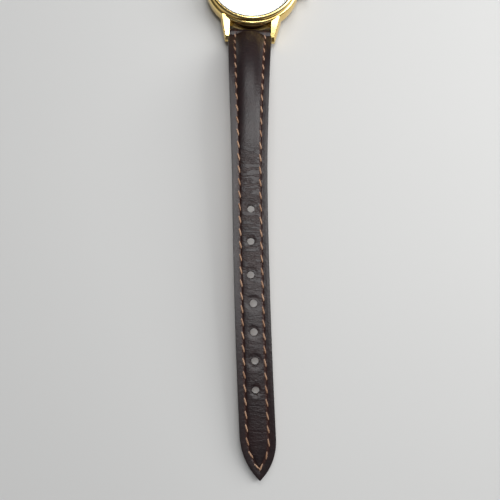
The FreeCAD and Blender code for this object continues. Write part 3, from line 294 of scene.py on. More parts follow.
def calf(name, dark, light, crease):
    finish = Finish(name, IOR=1.46, Coat_IOR=1.4, Coat_Roughness=0.38)
    along = finish.attribute("along")
    across = finish.attribute("across")
    rim = finish.attribute("rim")
    wear = finish.attribute("wear")
    flat = finish.vector(across, along, 0.0)
    stretched = finish.vector(across * 0.22, along, 0.0)
    cloud = finish.noise(flat, 160.0, 4.0, 0.55)
    mottle = finish.noise(flat, 900.0, 3.0, 0.6)
    pores = finish.cells(flat, 3600.0)
    pebble = finish.cells(flat, 1900.0, "SMOOTH_F1")
    creases = finish.noise(stretched, 620.0, 4.0, 0.65)
    fine = finish.noise(stretched, 1900.0, 3.0, 0.6)
    lines = (creases - 0.5).size().clear_step(0.0, 0.07)
    tone = (cloud * 0.7 + mottle * 0.5 - 0.15).clear_step(0.25, 0.75)
    base = finish.mix(tone, dark, light)
    worn = finish.mix(wear * (1 - lines) * 0.28, base, crease)
    groove = (rim - INSET * MM).size().clear_step(0.00018, 0.00042)
    grooved = finish.mix((1 - groove) * 0.75, worn, (0.040, 0.014, 0.010, 1))
    edge = rim.clear_step(0.00008, 0.00030)
    finish.feed("Base Color", finish.mix(edge, (0.010, 0.007, 0.007, 1), grooved))
    finish.feed("Roughness", 0.35 + mottle * 0.14 + (1 - lines) * wear * 0.08 - cloud * 0.06)
    finish.feed("Coat Weight", 0.12 * edge)
    grain = finish.bump(pebble * 0.6 + pores * 0.4, 0.00005)
    wrinkled = finish.bump(lines * wear + fine * 0.25, 0.00006, grain)
    finish.feed("Normal", wrinkled)
    return finish.material


FINISHES["strap_leather"] = calf("oxblood calf", (0.0085, 0.0036, 0.0042, 1), (0.019, 0.0075, 0.0078, 1),
                                 (0.052, 0.024, 0.018, 1))
print("leather ready")

# %% [markdown]
# The lining against the wrist is a plainer brown leather. It is undyed on its flesh side, so it
# is matt, with open pores and faint darker blotches. The same attributes guide it.

# %% Lining leather
finish = Finish("brown lining", IOR=1.45)
along = finish.attribute("along")
across = finish.attribute("across")
rim = finish.attribute("rim")
flat = finish.vector(across, along, 0.0)
blotch = finish.noise(flat, 240.0, 5.0, 0.6)
pores = finish.cells(flat, 2400.0)
tone = finish.mix(blotch.clear_step(0.3, 0.7), (0.19, 0.095, 0.050, 1), (0.31, 0.175, 0.100, 1))
edge = rim.clear_step(0.00005, 0.00022)
finish.feed("Base Color", finish.mix(edge, (0.012, 0.008, 0.008, 1), tone))
finish.feed("Roughness", 0.62 + blotch * 0.2)
finish.feed("Normal", finish.bump(pores, 0.00005))
FINISHES["lining_leather"] = finish.material

# %% [markdown]
# ## Waxed thread
# The stitches are a pale tan linen thread, two plies twisted and waxed. At this size the twisted
# plies show as fine slanting bands, drawn with a sine wave over the ply attribute, which is written
# on the one model stitch. The wave raises the plies in the bump and also darkens the valleys between
# them in the colour, which is painted shade. Each copy then gets its own shade of tan, drawn at random.

# %% Thread
finish = Finish("waxed tan thread", Sheen_Weight=0.25, Sheen_Roughness=0.4)
ply = finish.attribute("ply")
shade = finish.attribute("shade")
twist_and_shade = ply.sine() * 0.5 + 0.5
dust = finish.noise(finish.place(), 2600.0, 3.0)
light = finish.mix(shade, (0.36, 0.19, 0.105, 1), (0.55, 0.34, 0.215, 1))
# Painted shade: the colour darkens in the valleys between the plies, where the sine wave is low.
finish.feed("Base Color", finish.mix((1 - twist_and_shade) * 0.6, light, (0.17, 0.085, 0.045, 1)))
finish.feed("Roughness", 0.48 + dust * 0.2)
finish.feed("Normal", finish.bump(twist_and_shade + dust * 0.3, 0.00006))
FINISHES["strap_thread"] = finish.material

# %% [markdown]
# ## Gilt metal
# The case, bezel, crown and buckle are polished and gold plated. Real polished plate is not a
# perfect mirror: it carries a haze of hairline scratches and a slight ripple from buffing. Both
# are drawn from stretched noise, and they only touch roughness and the bump, because plating
# keeps one colour.

# %% Metal finishes
def metal(name, colour, second, rough, scratch=0.5, ripple=0.00001, stretch=(1, 1, 30)):
    finish = Finish(name, Metallic=1.0)
    haze = finish.noise(finish.place(), 420.0, 4.0, 0.6)
    hairline = finish.noise(finish.place(stretch), 700.0, 5.0, 0.7)
    swirl = finish.noise(finish.place((8, 1, 3)), 900.0, 4.0, 0.6)
    finish.feed("Base Color", finish.mix(haze.clear_step(0.35, 0.7), colour, second))
    finish.feed("Roughness", rough + haze * rough * 0.5 + (hairline * swirl) * rough * scratch)
    finish.feed("Normal", finish.bump(haze + hairline * 0.25, ripple))
    return finish.material


METALS = {
    "gold_plate": ("gilt plate", (0.86, 0.62, 0.22, 1), (0.92, 0.70, 0.30, 1), 0.13),
    "steel": ("turned steel", (0.56, 0.56, 0.56, 1), (0.66, 0.66, 0.65, 1), 0.28),
    "nickel_plate": ("nickelled plate", (0.62, 0.60, 0.56, 1), (0.72, 0.70, 0.66, 1), 0.30),
    "wheel_brass": ("satin brass", (0.70, 0.52, 0.22, 1), (0.80, 0.63, 0.30, 1), 0.30),
    "battery_steel": ("bright steel can", (0.70, 0.70, 0.71, 1), (0.78, 0.78, 0.78, 1), 0.18),
    "copper_wire": ("enamelled winding", (0.60, 0.25, 0.10, 1), (0.72, 0.36, 0.16, 1), 0.32,
                    0.8, 0.00003, (60, 1, 1)),
    "magnet": ("sintered magnet", (0.13, 0.13, 0.14, 1), (0.20, 0.20, 0.21, 1), 0.45),
}
for slot, recipe in METALS.items():
    FINISHES[slot] = metal(*recipe)
print("metals ready")

# %% [markdown]
# ## Plastics, rubber, board and felt
# Inside the watch are small moulded and pressed pieces. Each still has its own surface: moulded
# plastic has a faint orange peel, rubber is matt and dusty, the circuit board shows copper
# tracks under green lacquer, and the felt padding is fibrous.

# %% Small plain materials
def matt(name, dark, light, scale, rough, depth, detail=3.0):
    finish = Finish(name)
    cloud = finish.noise(finish.place(), scale, detail)
    fine = finish.noise(finish.place(), scale * 6, 3.0)
    finish.feed("Base Color", finish.mix(cloud.clear_step(0.3, 0.7), dark, light))
    finish.feed("Roughness", rough + fine * 0.15)
    finish.feed("Normal", finish.bump(fine + cloud * 0.5, depth))
    return finish.material


MATTS = {
    "white_plastic": ("moulded white", (0.70, 0.70, 0.67, 1), (0.80, 0.80, 0.78, 1), 500, 0.42, 0.00001),
    "dark_rubber": ("gasket rubber", (0.012, 0.012, 0.012, 1), (0.03, 0.03, 0.03, 1), 900, 0.75, 0.00002),
    "pad_felt": ("pressed felt", (0.40, 0.34, 0.26, 1), (0.60, 0.54, 0.44, 1), 1500, 0.85, 0.00005, 6.0),
}
for slot, recipe in MATTS.items():
    FINISHES[slot] = matt(*recipe)

finish = Finish("green board")
where = finish.place()
tracks = finish.cells(where, 900.0, "DISTANCE_TO_EDGE").clear_step(0.04, 0.07)
haze = finish.noise(where, 300.0)
lacquer = finish.mix(haze, (0.010, 0.075, 0.030, 1), (0.020, 0.12, 0.05, 1))
finish.feed("Base Color", finish.mix(1 - tracks, lacquer, (0.06, 0.22, 0.08, 1)))
finish.feed("Roughness", 0.3 + haze * 0.2)
finish.feed("Normal", finish.bump(1 - tracks, 0.00002))
FINISHES["board_green"] = finish.material

# %% [markdown]
# ## Dial and crystal
# The dial is silvery white with a very faint sunray, so the light turns slowly round it, and a
# track of sixty grey minute dots printed near its edge. Angle and radius are worked out from
# the position over the dial's centre, and both patterns follow from them.
# The crystal is thin and clear. A full glass shader would put the dial in its shadow, so the
# crystal mixes a clear shader with a little gloss: a twentieth of the light, as a pane returns
# when it is looked at from above.

# %% Dial and crystal
dial_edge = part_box("dial")[1].x
finish = Finish("silvered dial", Metallic=0.0, IOR=1.5, Coat_Roughness=0.1)
x, y, z = finish.parts(finish.place())
radius = (x * x + y * y) ** 0.5
angle = finish.node("ShaderNodeMath", {"operation": "ARCTAN2"}, {0: y, 1: x})
rays = finish.noise(finish.vector(angle * 14.0, radius * 30.0, 0.0), 6.0, 4.0, 0.7)
turn = angle * (60 / math.tau) + 60.0
beat = turn.maths("FRACT", turn + 0.5) - 0.5
dot_across = beat * (math.tau / 60) * radius
dot_out = radius - dial_edge * 0.915
dot = 1 - (dot_across * dot_across + dot_out * dot_out).clear_step(0.00010 ** 2, 0.00015 ** 2)
silver = finish.mix(rays, (0.88, 0.88, 0.86, 1), (0.94, 0.94, 0.93, 1))
finish.feed("Base Color", finish.mix(dot * 0.75, silver, (0.10, 0.10, 0.10, 1)))
finish.feed("Roughness", 0.30 + rays * 0.15)
finish.feed("Metallic", 0.08 * (1 - dot))
finish.feed("Normal", finish.bump(rays, 0.000004))
FINISHES["dial_silver"] = finish.material

finish = Finish("clear crystal")
output = finish.tree.nodes["Material Output"]
smudge = finish.noise(finish.place(), 240.0, 4.0)
clear = finish.node("ShaderNodeBsdfTransparent", {}, {"Color": (0.97, 0.98, 0.985, 1)})
gloss = finish.node("ShaderNodeBsdfGlossy", {}, {"Roughness": 0.03 + smudge * 0.05})
pane = finish.node("ShaderNodeMixShader", {}, {0: 0.045 + smudge * 0.02, 1: clear, 2: gloss})
finish.set(output.inputs["Surface"], pane)
FINISHES["crystal_glass"] = finish.material
print("finishes", sorted(FINISHES))

# %% [markdown]
# Every CAD node now gets the finish of its own material slot from the model's record. Most of
# them stay hidden in the case, but a reader who lifts the dial sees a finished movement.

# %% Dress the CAD nodes
for part in frame["record"]["subparts"]:
    mesh = nodes[part["node"]].data
    mesh.materials.clear()
    mesh.materials.append(FINISHES[part["material_slot"]])

# %% [markdown]
# ## Measuring the strap
# The leather has to lie exactly where the CAD strap lies, so its course is measured, not
# guessed. The CAD lining is sliced across at many stations. Each slice gives the left edge, the
# right edge and the height of the seam between lining and grain leather. Joining the slices
# gives the line that the strap follows, and its length gives the distance along the leather.

# %% Slices and course
def edge_ends(node):
    mesh = nodes[node].data
    points = np.array([v.co for v in mesh.vertices])
    edges = np.array([e.vertices[:] for e in mesh.edges])
    return points[edges[:, 0]], points[edges[:, 1]]


def slice_at(ends, y):
    """Corners (low, high) of where a mesh's edges cross the plane at y."""
    a, b = ends
    crossing = (a[:, 1] - y) * (b[:, 1] - y) <= 0
    a, b = a[crossing], b[crossing]
    run = b[:, 1] - a[:, 1]
    share = np.where(np.abs(run) > 1e-12, (y - a[:, 1]) / np.where(run == 0, 1, run), 0.0)
    points = a + (b - a) * share[:, None]
    return points.min(0), points.max(0)


def eased(values, reach):
    """Moving average that keeps the ends in place."""
    before = 2 * values[0] - values[reach:0:-1]
    after = 2 * values[-1] - values[-2:-reach - 2:-1]
    padded = np.concatenate([before, values, after])
    kernel = np.hanning(2 * reach + 1)
    return np.convolve(padded, kernel / kernel.sum(), "valid")


class Course:
    """The line a strap half follows: side view, sideways set, half width and thickness."""

    def __init__(self, half, side, bar):
        self.side = side
        lining = edge_ends(half + "_strap_lining")
        top = edge_ends(half + "_strap_top")
        start = middle(bar + "_bar_tube")
        low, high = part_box(half + "_strap_lining")
        far = abs(low.y if side < 0 else high.y)
        out = np.linspace(abs(start.y) + 3.0 * MM, far - 0.02 * MM, 400)
        rows = []
        for y in out:
            a, b = slice_at(lining, side * y)
            c, d = slice_at(top, side * y)
            rows.append((b[2], (a[0] + b[0]) / 2, (d[0] - c[0]) / 2, d[2]))
        seam, centre, width, crest = np.array(rows).T
        seam = eased(seam, 6)
        back = np.linspace(abs(start.y), out[0], 20)[:-1]
        line_y = np.concatenate([back, out])
        line_z = np.concatenate([np.interp(back, [back[0], out[0]], [start.z, seam[0]]), seam])
        step = np.hypot(np.diff(line_y), np.diff(line_z))
        self.s = np.concatenate([[0], np.cumsum(step)])
        self.y = line_y
        self.z = line_z
        self.heading = eased(np.arctan2(np.gradient(line_z), np.gradient(line_y)), 6)
        pad = len(back)
        self.centre = np.concatenate([np.full(pad, centre[0]), eased(centre, 6)])
        self.width = np.concatenate([np.full(pad, width[0]), width])
        thick = (crest - seam) * np.cos(self.heading[pad:])
        self.thick = np.concatenate([np.full(pad, thick[0]), eased(thick, 10)])
        self.lining_end = self.s[-1]
        self.start = start
        self.end = None
        if side > 0:
            self.end = middle("buckle_bar_tube")
            last = len(self.s) - 1
            gap = math.hypot(self.end.y - self.y[last], self.end.z - self.z[last])
            slope = math.atan2(self.end.z - self.z[last], self.end.y - self.y[last])
            added = {"s": self.s[last] + gap, "y": self.end.y, "z": self.end.z, "heading": slope,
                     "centre": self.centre[last], "width": self.width[last], "thick": self.thick[last]}
            for name, value in added.items():
                setattr(self, name, np.append(getattr(self, name), value))
        self.length = self.s[-1]

    def read(self, name, s):
        return np.interp(s, self.s, getattr(self, name))

    def point(self, s, x, h):
        """Points from arrays of distance along, across, and height above the seam."""
        inside = np.maximum(s, 0.0)
        a = self.read("heading", inside)
        before = np.minimum(s, 0.0) + np.maximum(s - self.length, 0.0)
        y = self.read("y", inside) + before * np.cos(a) - h * np.sin(a)
        z = self.read("z", inside) + before * np.sin(a) + h * np.cos(a)
        return np.stack([self.read("centre", inside) + x, self.side * y, z], -1)


LONG = Course("long", -1, "six")
SHORT = Course("short", 1, "twelve")
print("long half", round(LONG.length / MM, 2), "short half", round(SHORT.length / MM, 2))

# %% [markdown]
# ## Shape of the grain leather
# A padded strap has a thin border outside the stitching, a groove that the stitches pull down,
# and a field that swells over the padding and dies away towards the tail. Across any station,
# the section is one closed loop: up the painted edge, over the top, down the other edge and
# back along the seam. The loop is the same at all stations, so a grid primitive can be wrapped
# round it: its rows are stations, its columns are places on the loop. Extrusion along a curve
# could sweep such a section, but could not let it swell, neck in at the lugs and close to a
# point at the tip, which the grid does in one go.

# %% Section values
BORDER = 0.76       # leather thickness outside the stitching, in millimetres
ROLL = 1.20         # radius of the leather rolled round the spring bar
CREASE_AT = 0.15    # crease where the roll meets the padded body
SEAM = 0.015        # half the glue line between grain leather and lining
HALF_STITCH = 1.02  # half the length of a stitch
FLEX_DEPTH = 0.024  # deepest of the cross creases
HOLE_SINK = 0.13    # leather pulled down round a punched hole
HOLE_RADIUS = 0.82  # of the punched holes
BAR_BORE = 0.70     # radius of the bore for a spring bar
EDGE_STEPS = [0.10, 0.20, 0.32, 0.52, 0.80, 1.05, 1.25, 1.38, 1.47, 1.56, 1.65, 1.74, 1.83, 1.93,
              2.06, 2.25, 2.50, 2.80]


def smooth(t):
    t = np.clip(t, 0.0, 1.0)
    return t * t * (3 - 2 * t)


def outline_distance(course, s, x):
    """Distance from the strap's outline, in millimetres, true at the pointed tip as well."""
    plain = course.read("width", s) / MM - np.abs(x)
    if course.side > 0:
        return plain
    tip = course.length / MM - 13.0
    edge_s = np.linspace(tip - 3.0, course.length / MM, 400)
    edge_w = course.read("width", edge_s * MM) / MM
    near = s / MM > tip
    if near.any():
        gap_s = s[near][:, None] / MM - edge_s[None, :]
        gap_x = np.abs(x[near])[:, None] - edge_w[None, :]
        plain[near] = np.minimum(plain[near], np.sqrt((gap_s ** 2 + gap_x ** 2).min(1)))
    return np.maximum(plain, 0.0)


def stitch_row(course, sign, first, last, count):
    """Places and directions of the stitches of one row: (s, x, turn) in millimetres."""
    s = np.linspace(0.6, course.length / MM, 1200)
    w = course.read("width", s * MM) / MM
    w = eased(w, 8)
    ds, dw = np.gradient(s), np.gradient(w)
    size = np.hypot(ds, dw)
    row_s = s + INSET * dw / size
    row_x = w - INSET * ds / size
    keep = (row_x > 0.36) & (row_s > 0.6)
    row_s, row_x = row_s[keep], row_x[keep]
    run = np.concatenate([[0], np.cumsum(np.hypot(np.diff(row_s), np.diff(row_x)))])
    end = run[-1] if last is None else np.interp(last, row_s, run)
    at = np.linspace(np.interp(first, row_s, run), end, count)
    turn = np.arctan2(np.gradient(row_x), np.gradient(row_s))
    return [(np.interp(a, run, row_s), sign * np.interp(a, run, row_x), sign * np.interp(a, run, turn))
            for a in at]


LONG_ROWS = [stitch_row(LONG, sign, 1.76, None, 37) for sign in (-1, 1)]
SHORT_ROWS = [stitch_row(SHORT, sign, 1.76, SHORT.length / MM - 5.3, 19) for sign in (-1, 1)]
print("stitch pitch", round(LONG_ROWS[0][11][0] - LONG_ROWS[0][10][0], 3))

# %% [markdown]
# The buckle holes are found on the CAD lining: away from its edges, on the outer part of the
# long half, its corners gather on the rims of the holes. Each group as long and wide as a hole
# is one, which gives seven.

# %% Find the holes
def find_holes(course):
    points = corners_of(nodes["long_strap_lining"])
    along = np.interp(-points[:, 1], course.y, course.s)
    offset = points[:, 0] - course.read("centre", along)
    inner = (np.abs(offset) < 1.6 * MM) & (along > 0.4 * course.length) & (along < course.length - 12 * MM)
    order = np.argsort(along[inner])
    along, offset = along[inner][order], offset[inner][order]
    groups = np.split(np.arange(len(along)), np.where(np.diff(along) > 2.0 * MM)[0] + 1)
    found = []
    for group in groups:
        ends = along[group].min() / MM, along[group].max() / MM
        sides = offset[group].min() / MM, offset[group].max() / MM
        if ends[1] - ends[0] > 1.3 and sides[1] - sides[0] > 1.3:
            found.append(((ends[0] + ends[1]) / 2, (sides[0] + sides[1]) / 2, (sides[1] - sides[0]) / 2))
    return found


HOLES = find_holes(LONG)
print("holes", [tuple(round(float(v), 2) for v in hole) for hole in HOLES])


# %% [markdown]
# The height of the top surface is a sum of simple ideas: border, groove, crown, a small dimple
# where each stitch dives in, a sunk rim round each hole and a few soft creases across the
# middle, where the strap has been flexed.

# %% Height of the top surface
def top_height(course, rows, s, x):
    """Height above the seam in millimetres, for arrays of distance along and across (mm)."""
    metres = s * MM
    rim = outline_distance(course, metres, x)
    width = np.maximum(course.read("width", metres) / MM, 0.4)
    full = course.read("thick", metres) / MM
    share = np.clip((rim - INSET) / np.maximum(width - INSET, 0.3), 0, 1)
    crown = 1 - (1 - share) ** 2.6
    border = BORDER - 0.10 * smooth((rim - 0.5) / 0.8)
    body = border + (full - SEAM - BORDER + 0.10) * crown * smooth((rim - INSET + 0.15) / 0.5)
    groove = np.exp(-((rim - INSET) / 0.20) ** 2) * smooth((s - 0.4) / 0.8)
    body = body - 0.12 * groove
    for row in rows:
        for at, side, turn in row:
            near = np.abs(s - at) < 2.2
            for end in (-HALF_STITCH, HALF_STITCH):
                gap = (s[near] - at - end * math.cos(turn)) ** 2 + (x[near] - side - end * math.sin(turn)) ** 2
                body[near] -= 0.10 * np.exp(-gap / 0.075)
            gap = (s[near] - at) ** 2 / 1.2 + (x[near] - side) ** 2 / 0.09
            body[near] += 0.03 * np.exp(-gap)
    return body, rim


def flexed(s, x, seed, spots, depth):
    """Soft cross creases with uneven depth and slant."""
    chance = np.random.default_rng(seed)
    total = np.zeros_like(s)
    for at in spots:
        for k in range(3):
            place = at + chance.normal(0, 1.3)
            slant = chance.normal(0, 0.10)
            wide = chance.uniform(0.22, 0.42)
            reach = chance.uniform(1.2, 3.2)
            middle_x = chance.normal(0, 0.8)
            line = (s - place - slant * x) / wide
            fade = np.exp(-((x - middle_x) / reach) ** 4)
            total -= depth * chance.uniform(0.4, 1.0) * np.exp(-line ** 2) * fade
    return total


# %% [markdown]
# ## Wrapping the grid
# Now the loop and the height are put together. The grid primitive has exactly as many points
# as stations times places on the loop. Each point is sent to its place, the doubles at the
# join, the tip and the roll are merged, and the normals are turned outward.

# %% Strap skin
SIDE_STEPS = [(0.16, 0.0), (0.05, 0.05), (0.0, 0.22), (0.0, 0.60), (0.015, 0.80), (0.05, 0.93)]


def loop_of(width, low, high):
    """One station's loop of (across, height, is on top) in millimetres; top heights come later."""
    squeeze = min(1.0, width / 3.4)
    left = [(-width + e * squeeze, low + f * (high - low), False) for e, f in SIDE_STEPS]
    edge = [(-width + e * squeeze, high, True) for e in EDGE_STEPS]
    reach = width - EDGE_STEPS[-1] * squeeze
    field = [(reach * t, high, True) for t in np.linspace(-1, 1, 23)[1:-1]]
    right = [(-x, h, flag) for x, h, flag in reversed(left + edge)]
    under = [(-right[-1][0] + 2 * right[-1][0] * t, low, False) for t in np.linspace(1, 0, 10)[1:-1]]
    loop = left + edge + field + right + under
    return loop + loop[:1]


def wrap(course, name, s_rows, low, high, top, inward=0.0):
    """Wraps a grid primitive round the loops of all stations. Lengths are in millimetres."""
    loops = []
    for s, below, above in zip(s_rows, low, high):
        width = max(course.read("width", s * MM) / MM - inward, 0.0)
        loops.append(loop_of(width, below, above))
    across, height, upper = [np.array(v) for v in zip(*[point for loop in loops for point in loop])]
    along = np.repeat(s_rows, len(loops[0]))
    upper = upper.astype(bool)
    height[upper] = top(along[upper], across[upper])
    rim = outline_distance(course, along * MM, across)
    nothing_selected()
    bpy.ops.mesh.primitive_grid_add(x_subdivisions=len(loops[0]) - 1, y_subdivisions=len(s_rows) - 1, size=1)
    piece = bpy.context.object
    points = course.point(along * MM, across * MM, height * MM)
    piece.data.vertices.foreach_set("co", points.ravel())
    bent = smooth((along - 30) / 7) * (1 - 0.75 * smooth((along - 58) / 14)) * smooth((rim - 0.8) / 1.2)
    write_values(piece, along=along * MM, across=across * MM, rim=rim * MM, wear=bent)
    piece.name = name
    return settle(piece)


def rod_cutter(radius, centre, direction, length):
    """A cylinder, for holes and bores, in metres."""
    nothing_selected()
    bpy.ops.mesh.primitive_cylinder_add(vertices=48, radius=radius, depth=length, location=centre)
    cutter = bpy.context.object
    cutter.rotation_mode = "QUATERNION"
    cutter.rotation_quaternion = Vector((0, 0, 1)).rotation_difference(Vector(direction))
    return settle(cutter)


def hole_cutters(course, low, high, length):
    """Cylinders through the buckle holes, square to the leather; heights are above the seam."""
    cutters = []
    for at, side, radius in HOLES if course.side < 0 else []:
        foot, head = course.point(np.full(2, at * MM), np.full(2, side * MM), np.array([low, high]) * MM)
        cutters.append(rod_cutter(HOLE_RADIUS * MM, foot, head - foot, length * MM))
    return cutters


# %% [markdown]
# The grain leather is rolled right round the spring bar, so its underside bulges down there and
# then meets the seam. The short half is rolled round the buckle's bar as well. The holes and the
# bores for the bars are cut last, with cylinders, and a box cuts the slot for the tongue.

# %% Grain leather of both halves
def grain_leather(half, course, rows, body, spots, seed):
    tail = course.length / MM
    turn = ROLL * np.cos(np.linspace(0, math.pi / 2, 9)[:-1])
    if course.side > 0:
        s_rows = np.concatenate([-turn, np.arange(0.0, tail - 0.1, 0.30), [tail], tail + turn[::-1]])
    else:
        end = tail - 1.2 * (1 - np.linspace(0, 1, 9) ** 0.6)
        s_rows = np.concatenate([-turn, np.arange(0.0, end[0] - 0.1, 0.30), end])

    def from_bar(s):
        """Distance from the middle of the nearer spring bar; negative beyond it."""
        return np.minimum(s, tail - s) if course.side > 0 else s

    def bulge(s):
        return np.sqrt(np.maximum(ROLL ** 2 - np.minimum(from_bar(s), ROLL) ** 2, 0))

    away = from_bar(s_rows)
    roll = bulge(s_rows)
    low = np.where(away < ROLL, -roll, 0.0) + SEAM
    blend = smooth((away - 0.55) / 0.9)
    high = np.maximum(roll * (1 - blend) + BORDER * blend, 0)

    def top(s, x):
        body_top, rim = top_height(course, rows, s, x)
        body_top = body_top + flexed(s, x, seed, spots, FLEX_DEPTH) * smooth((rim - 1.3) / 0.8)
        for at, side, radius in HOLES if course.side < 0 else []:
            gap = np.hypot(s - at, x - side)
            body_top -= HOLE_SINK * np.exp(-np.maximum(gap - radius, 0) ** 2 / 0.16)
        near = from_bar(s)
        share = smooth((near - 0.75) / 0.85)
        crease = 0.10 * np.exp(-((near - CREASE_AT) / 0.22) ** 2)
        return bulge(s) * (1 - 0.5 * np.exp(-(rim / 0.16) ** 2)) * (1 - share) + body_top * share - crease

    piece = wrap(course, half + "_grain_leather", s_rows, low, high, top)
    cutters = [rod_cutter(BAR_BORE * MM, course.start, (1, 0, 0), 14 * MM)]
    if course.side > 0:
        cutters.append(rod_cutter(BAR_BORE * MM, course.end, (1, 0, 0), 14 * MM))
    cutters += hole_cutters(course, 0.4, 2.0, 4)
    cut_with(piece, joined(cutters, "cutters"))
    if course.side > 0:
        nothing_selected()
        bpy.ops.mesh.primitive_cube_add(size=1, location=course.end)
        slot = bpy.context.object
        slot.scale = (1.52 * MM, 2.9 * MM, 5 * MM)
        cut_with(piece, settle(slot))
    return hand_over(piece, piece.name, "strap_leather", body, half + "_strap_top", half + "_strap_padding")


HOLE_SPOTS = [at for at, side, radius in HOLES]
long_leather = grain_leather("long", LONG, LONG_ROWS, "long_strap", HOLE_SPOTS + [34.0, 40.5, 95.0], 4)
short_leather = grain_leather("short", SHORT, SHORT_ROWS, "short_strap", [9.0, 30.0, 38.0], 9)


# %% Lining of both halves
def lining(half, course, body):
    tail = course.lining_end / MM
    end = np.array([tail]) if course.side > 0 else tail - 1.2 * (1 - np.linspace(0, 1, 9) ** 0.6)
    s_rows = np.concatenate([np.arange(1.25, end[0] - 0.1, 0.45), end])
    low = np.full(len(s_rows), -0.585)
    low[0] = -0.40
    high = np.full(len(s_rows), -SEAM)

    def top(s, x):
        return np.full(len(s), -SEAM)

    piece = wrap(course, half + "_lining_leather", s_rows, low, high, top, 0.03)
    close_ends(piece)
    if course.side < 0:
        cut_with(piece, joined(hole_cutters(course, -0.3, 1.0, 3), "cutters"))
    return hand_over(piece, piece.name, "lining_leather", body, half + "_strap_lining")


lining("long", LONG, "long_strap")
lining("short", SHORT, "short_strap")

# %% [markdown]
# ## Stitches
# Each stitch is a short fat arc of thread that rises from one hole and dives into the next,
# leaning a little because the needle holes are slanted. One stitch is shaped from a small
# sphere: stretched along, squared off a little, and its ends bent down. It is then copied to
# every place in the rows. Under the strap the same rows show through the lining.

# %% One stitch and its copies
def model_stitch():
    nothing_selected()
    bpy.ops.mesh.primitive_uv_sphere_add(segments=8, ring_count=7, radius=1.0, rotation=(math.pi / 2, 0, 0))
    stitch = bpy.context.object
    bpy.ops.object.transform_apply(rotation=True)
    ply = stitch.data.attributes.new("ply", "FLOAT", "POINT")
    stitch.data.attributes.new("shade", "FLOAT", "POINT")
    for vertex in stitch.data.vertices:
        x, y, z = vertex.co
        ply.data[vertex.index].value = 9.0 * y + 2.2 * math.atan2(z, x)
        fuller = math.hypot(x, z) ** 0.55 / max(math.hypot(x, z), 1e-6) if math.hypot(x, z) > 1e-4 else 1.0
        vertex.co = (x * fuller * 0.19 * MM, y * HALF_STITCH * MM, (z * fuller * 0.17 - 0.22 * y ** 4) * MM)
    return stitch


def stitch_rows(half, course, rows, heights, body):
    chance = np.random.default_rng(12)
    model = model_stitch()
    pieces = []
    for face in (1, -1):
        for row in rows:
            for s, x, turn in row:
                level = heights(np.array([s]), np.array([x]))[0] if face > 0 else -0.60
                spots = course.point(np.array([s, s + 0.1, s]) * MM, np.full(3, x * MM),
                                     np.array([level, level, level + 0.1]) * MM)
                place = Vector(spots[0])
                forward = Vector(spots[1] - spots[0]).normalized()
                upward = Vector(spots[2] - spots[0]).normalized()
                lean = turn + (-0.26 * course.side + chance.normal(0, 0.02))
                across = Vector((1, 0, 0))
                ahead = forward * math.cos(lean) + across * math.sin(lean)
                up = upward * face
                side = ahead.cross(up)
                twin = copied(model, "stitch")
                frame_of = Matrix((side, ahead, up)).transposed().to_4x4()
                twin.matrix_world = Matrix.Translation(place + up * 0.075 * MM) @ frame_of
                value = float(chance.uniform(0, 1))
                twin.data.attributes["shade"].data.foreach_set("value", [value] * len(twin.data.vertices))
                pieces.append(twin)
    bpy.data.objects.remove(model)
    piece = settle(joined(pieces, half + "_stitching"), weld=False)
    return hand_over(piece, piece.name, "strap_thread", body, half + "_strap_thread", smooth=80)


stitch_rows("long", LONG, LONG_ROWS, lambda s, x: top_height(LONG, [], s, x)[0], "long_strap")
stitch_rows("short", SHORT, SHORT_ROWS, lambda s, x: top_height(SHORT, [], s, x)[0], "short_strap")

# %% [markdown]
# ## Turned pieces
# A watch case is turned on a lathe, so its ring, bezel and back are all shapes of revolution.
# The natural tool is Spin: one closed section is drawn from a circle primitive whose points are
# moved to the corners of the profile, and it is spun once round. The corners are eased first,
# because a polished edge is never sharp and it is the soft edge that catches light.

# %% Spin a section
def eased_corners(section, radius):
    """Replaces each corner by a short curve; corners on the axis stay as they are."""
    result = []
    for k, corner in enumerate(section):
        before, after = Vector(section[k - 1]), Vector(section[(k + 1) % len(section)])
        corner = Vector(corner)
        if corner.x < 1e-6 or radius == 0:
            result.append(corner)
            continue
        cut = min(radius, (before - corner).length / 2.3, (after - corner).length / 2.3)
        a = corner + (before - corner).normalized() * cut
        b = corner + (after - corner).normalized() * cut
        result += [a, a * 0.56 + corner * 0.375 + b * 0.065, a * 0.25 + corner * 0.5 + b * 0.25,
                   a * 0.065 + corner * 0.375 + b * 0.56, b]
    return result


def turned(section, rounding=0.12, steps=144):
    """A solid spun about Z from (radius, height) corners in millimetres."""
    points = eased_corners(section, rounding)
    nothing_selected()
    bpy.ops.mesh.primitive_circle_add(vertices=len(points), radius=0.001, fill_type="NOTHING")
    piece = bpy.context.object
    for vertex, (radius, height) in zip(piece.data.vertices, points):
        vertex.co = (radius * MM, 0, height * MM)
    bpy.ops.object.mode_set(mode="EDIT")
    bpy.ops.mesh.select_all(action="SELECT")
    bpy.ops.mesh.spin(steps=steps, angle=math.tau, center=(0, 0, 0), axis=(0, 0, 1))
    return settle(piece)


# %% [markdown]
# ## Case, lugs and bezel
# The case is a polished ring with four lugs. Each lug is a wedge: its top is one flat facet that
# falls from the bezel's groove towards the nose and narrows on its way, with a flank outside it.
# The lug is drawn as a side profile, extruded across, and then planed by three bisects, as a
# file would: the outer flank, the bevel beside the facet, and the facet itself, which leans in
# a little towards the strap. Three mirrored copies make the other lugs.

# %% Case ring and lugs
TIP_BORE = 0.40     # radius of the room for a spring bar's tips, in millimetres
case_low, case_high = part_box("case_middle")
case_radius = 12.0 * round(case_high.x / MM / 12.0, 3)
case_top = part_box("bezel")[0].z / MM
case_foot = case_low.z / MM
lug_reach = case_high.y / MM
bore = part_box("dial")[1].x / MM + 0.15
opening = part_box("crystal")[1].x / MM - 0.30
dial_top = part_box("dial")[1].z / MM
lug_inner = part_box("six_bar_tube")[1].x / MM + 0.06


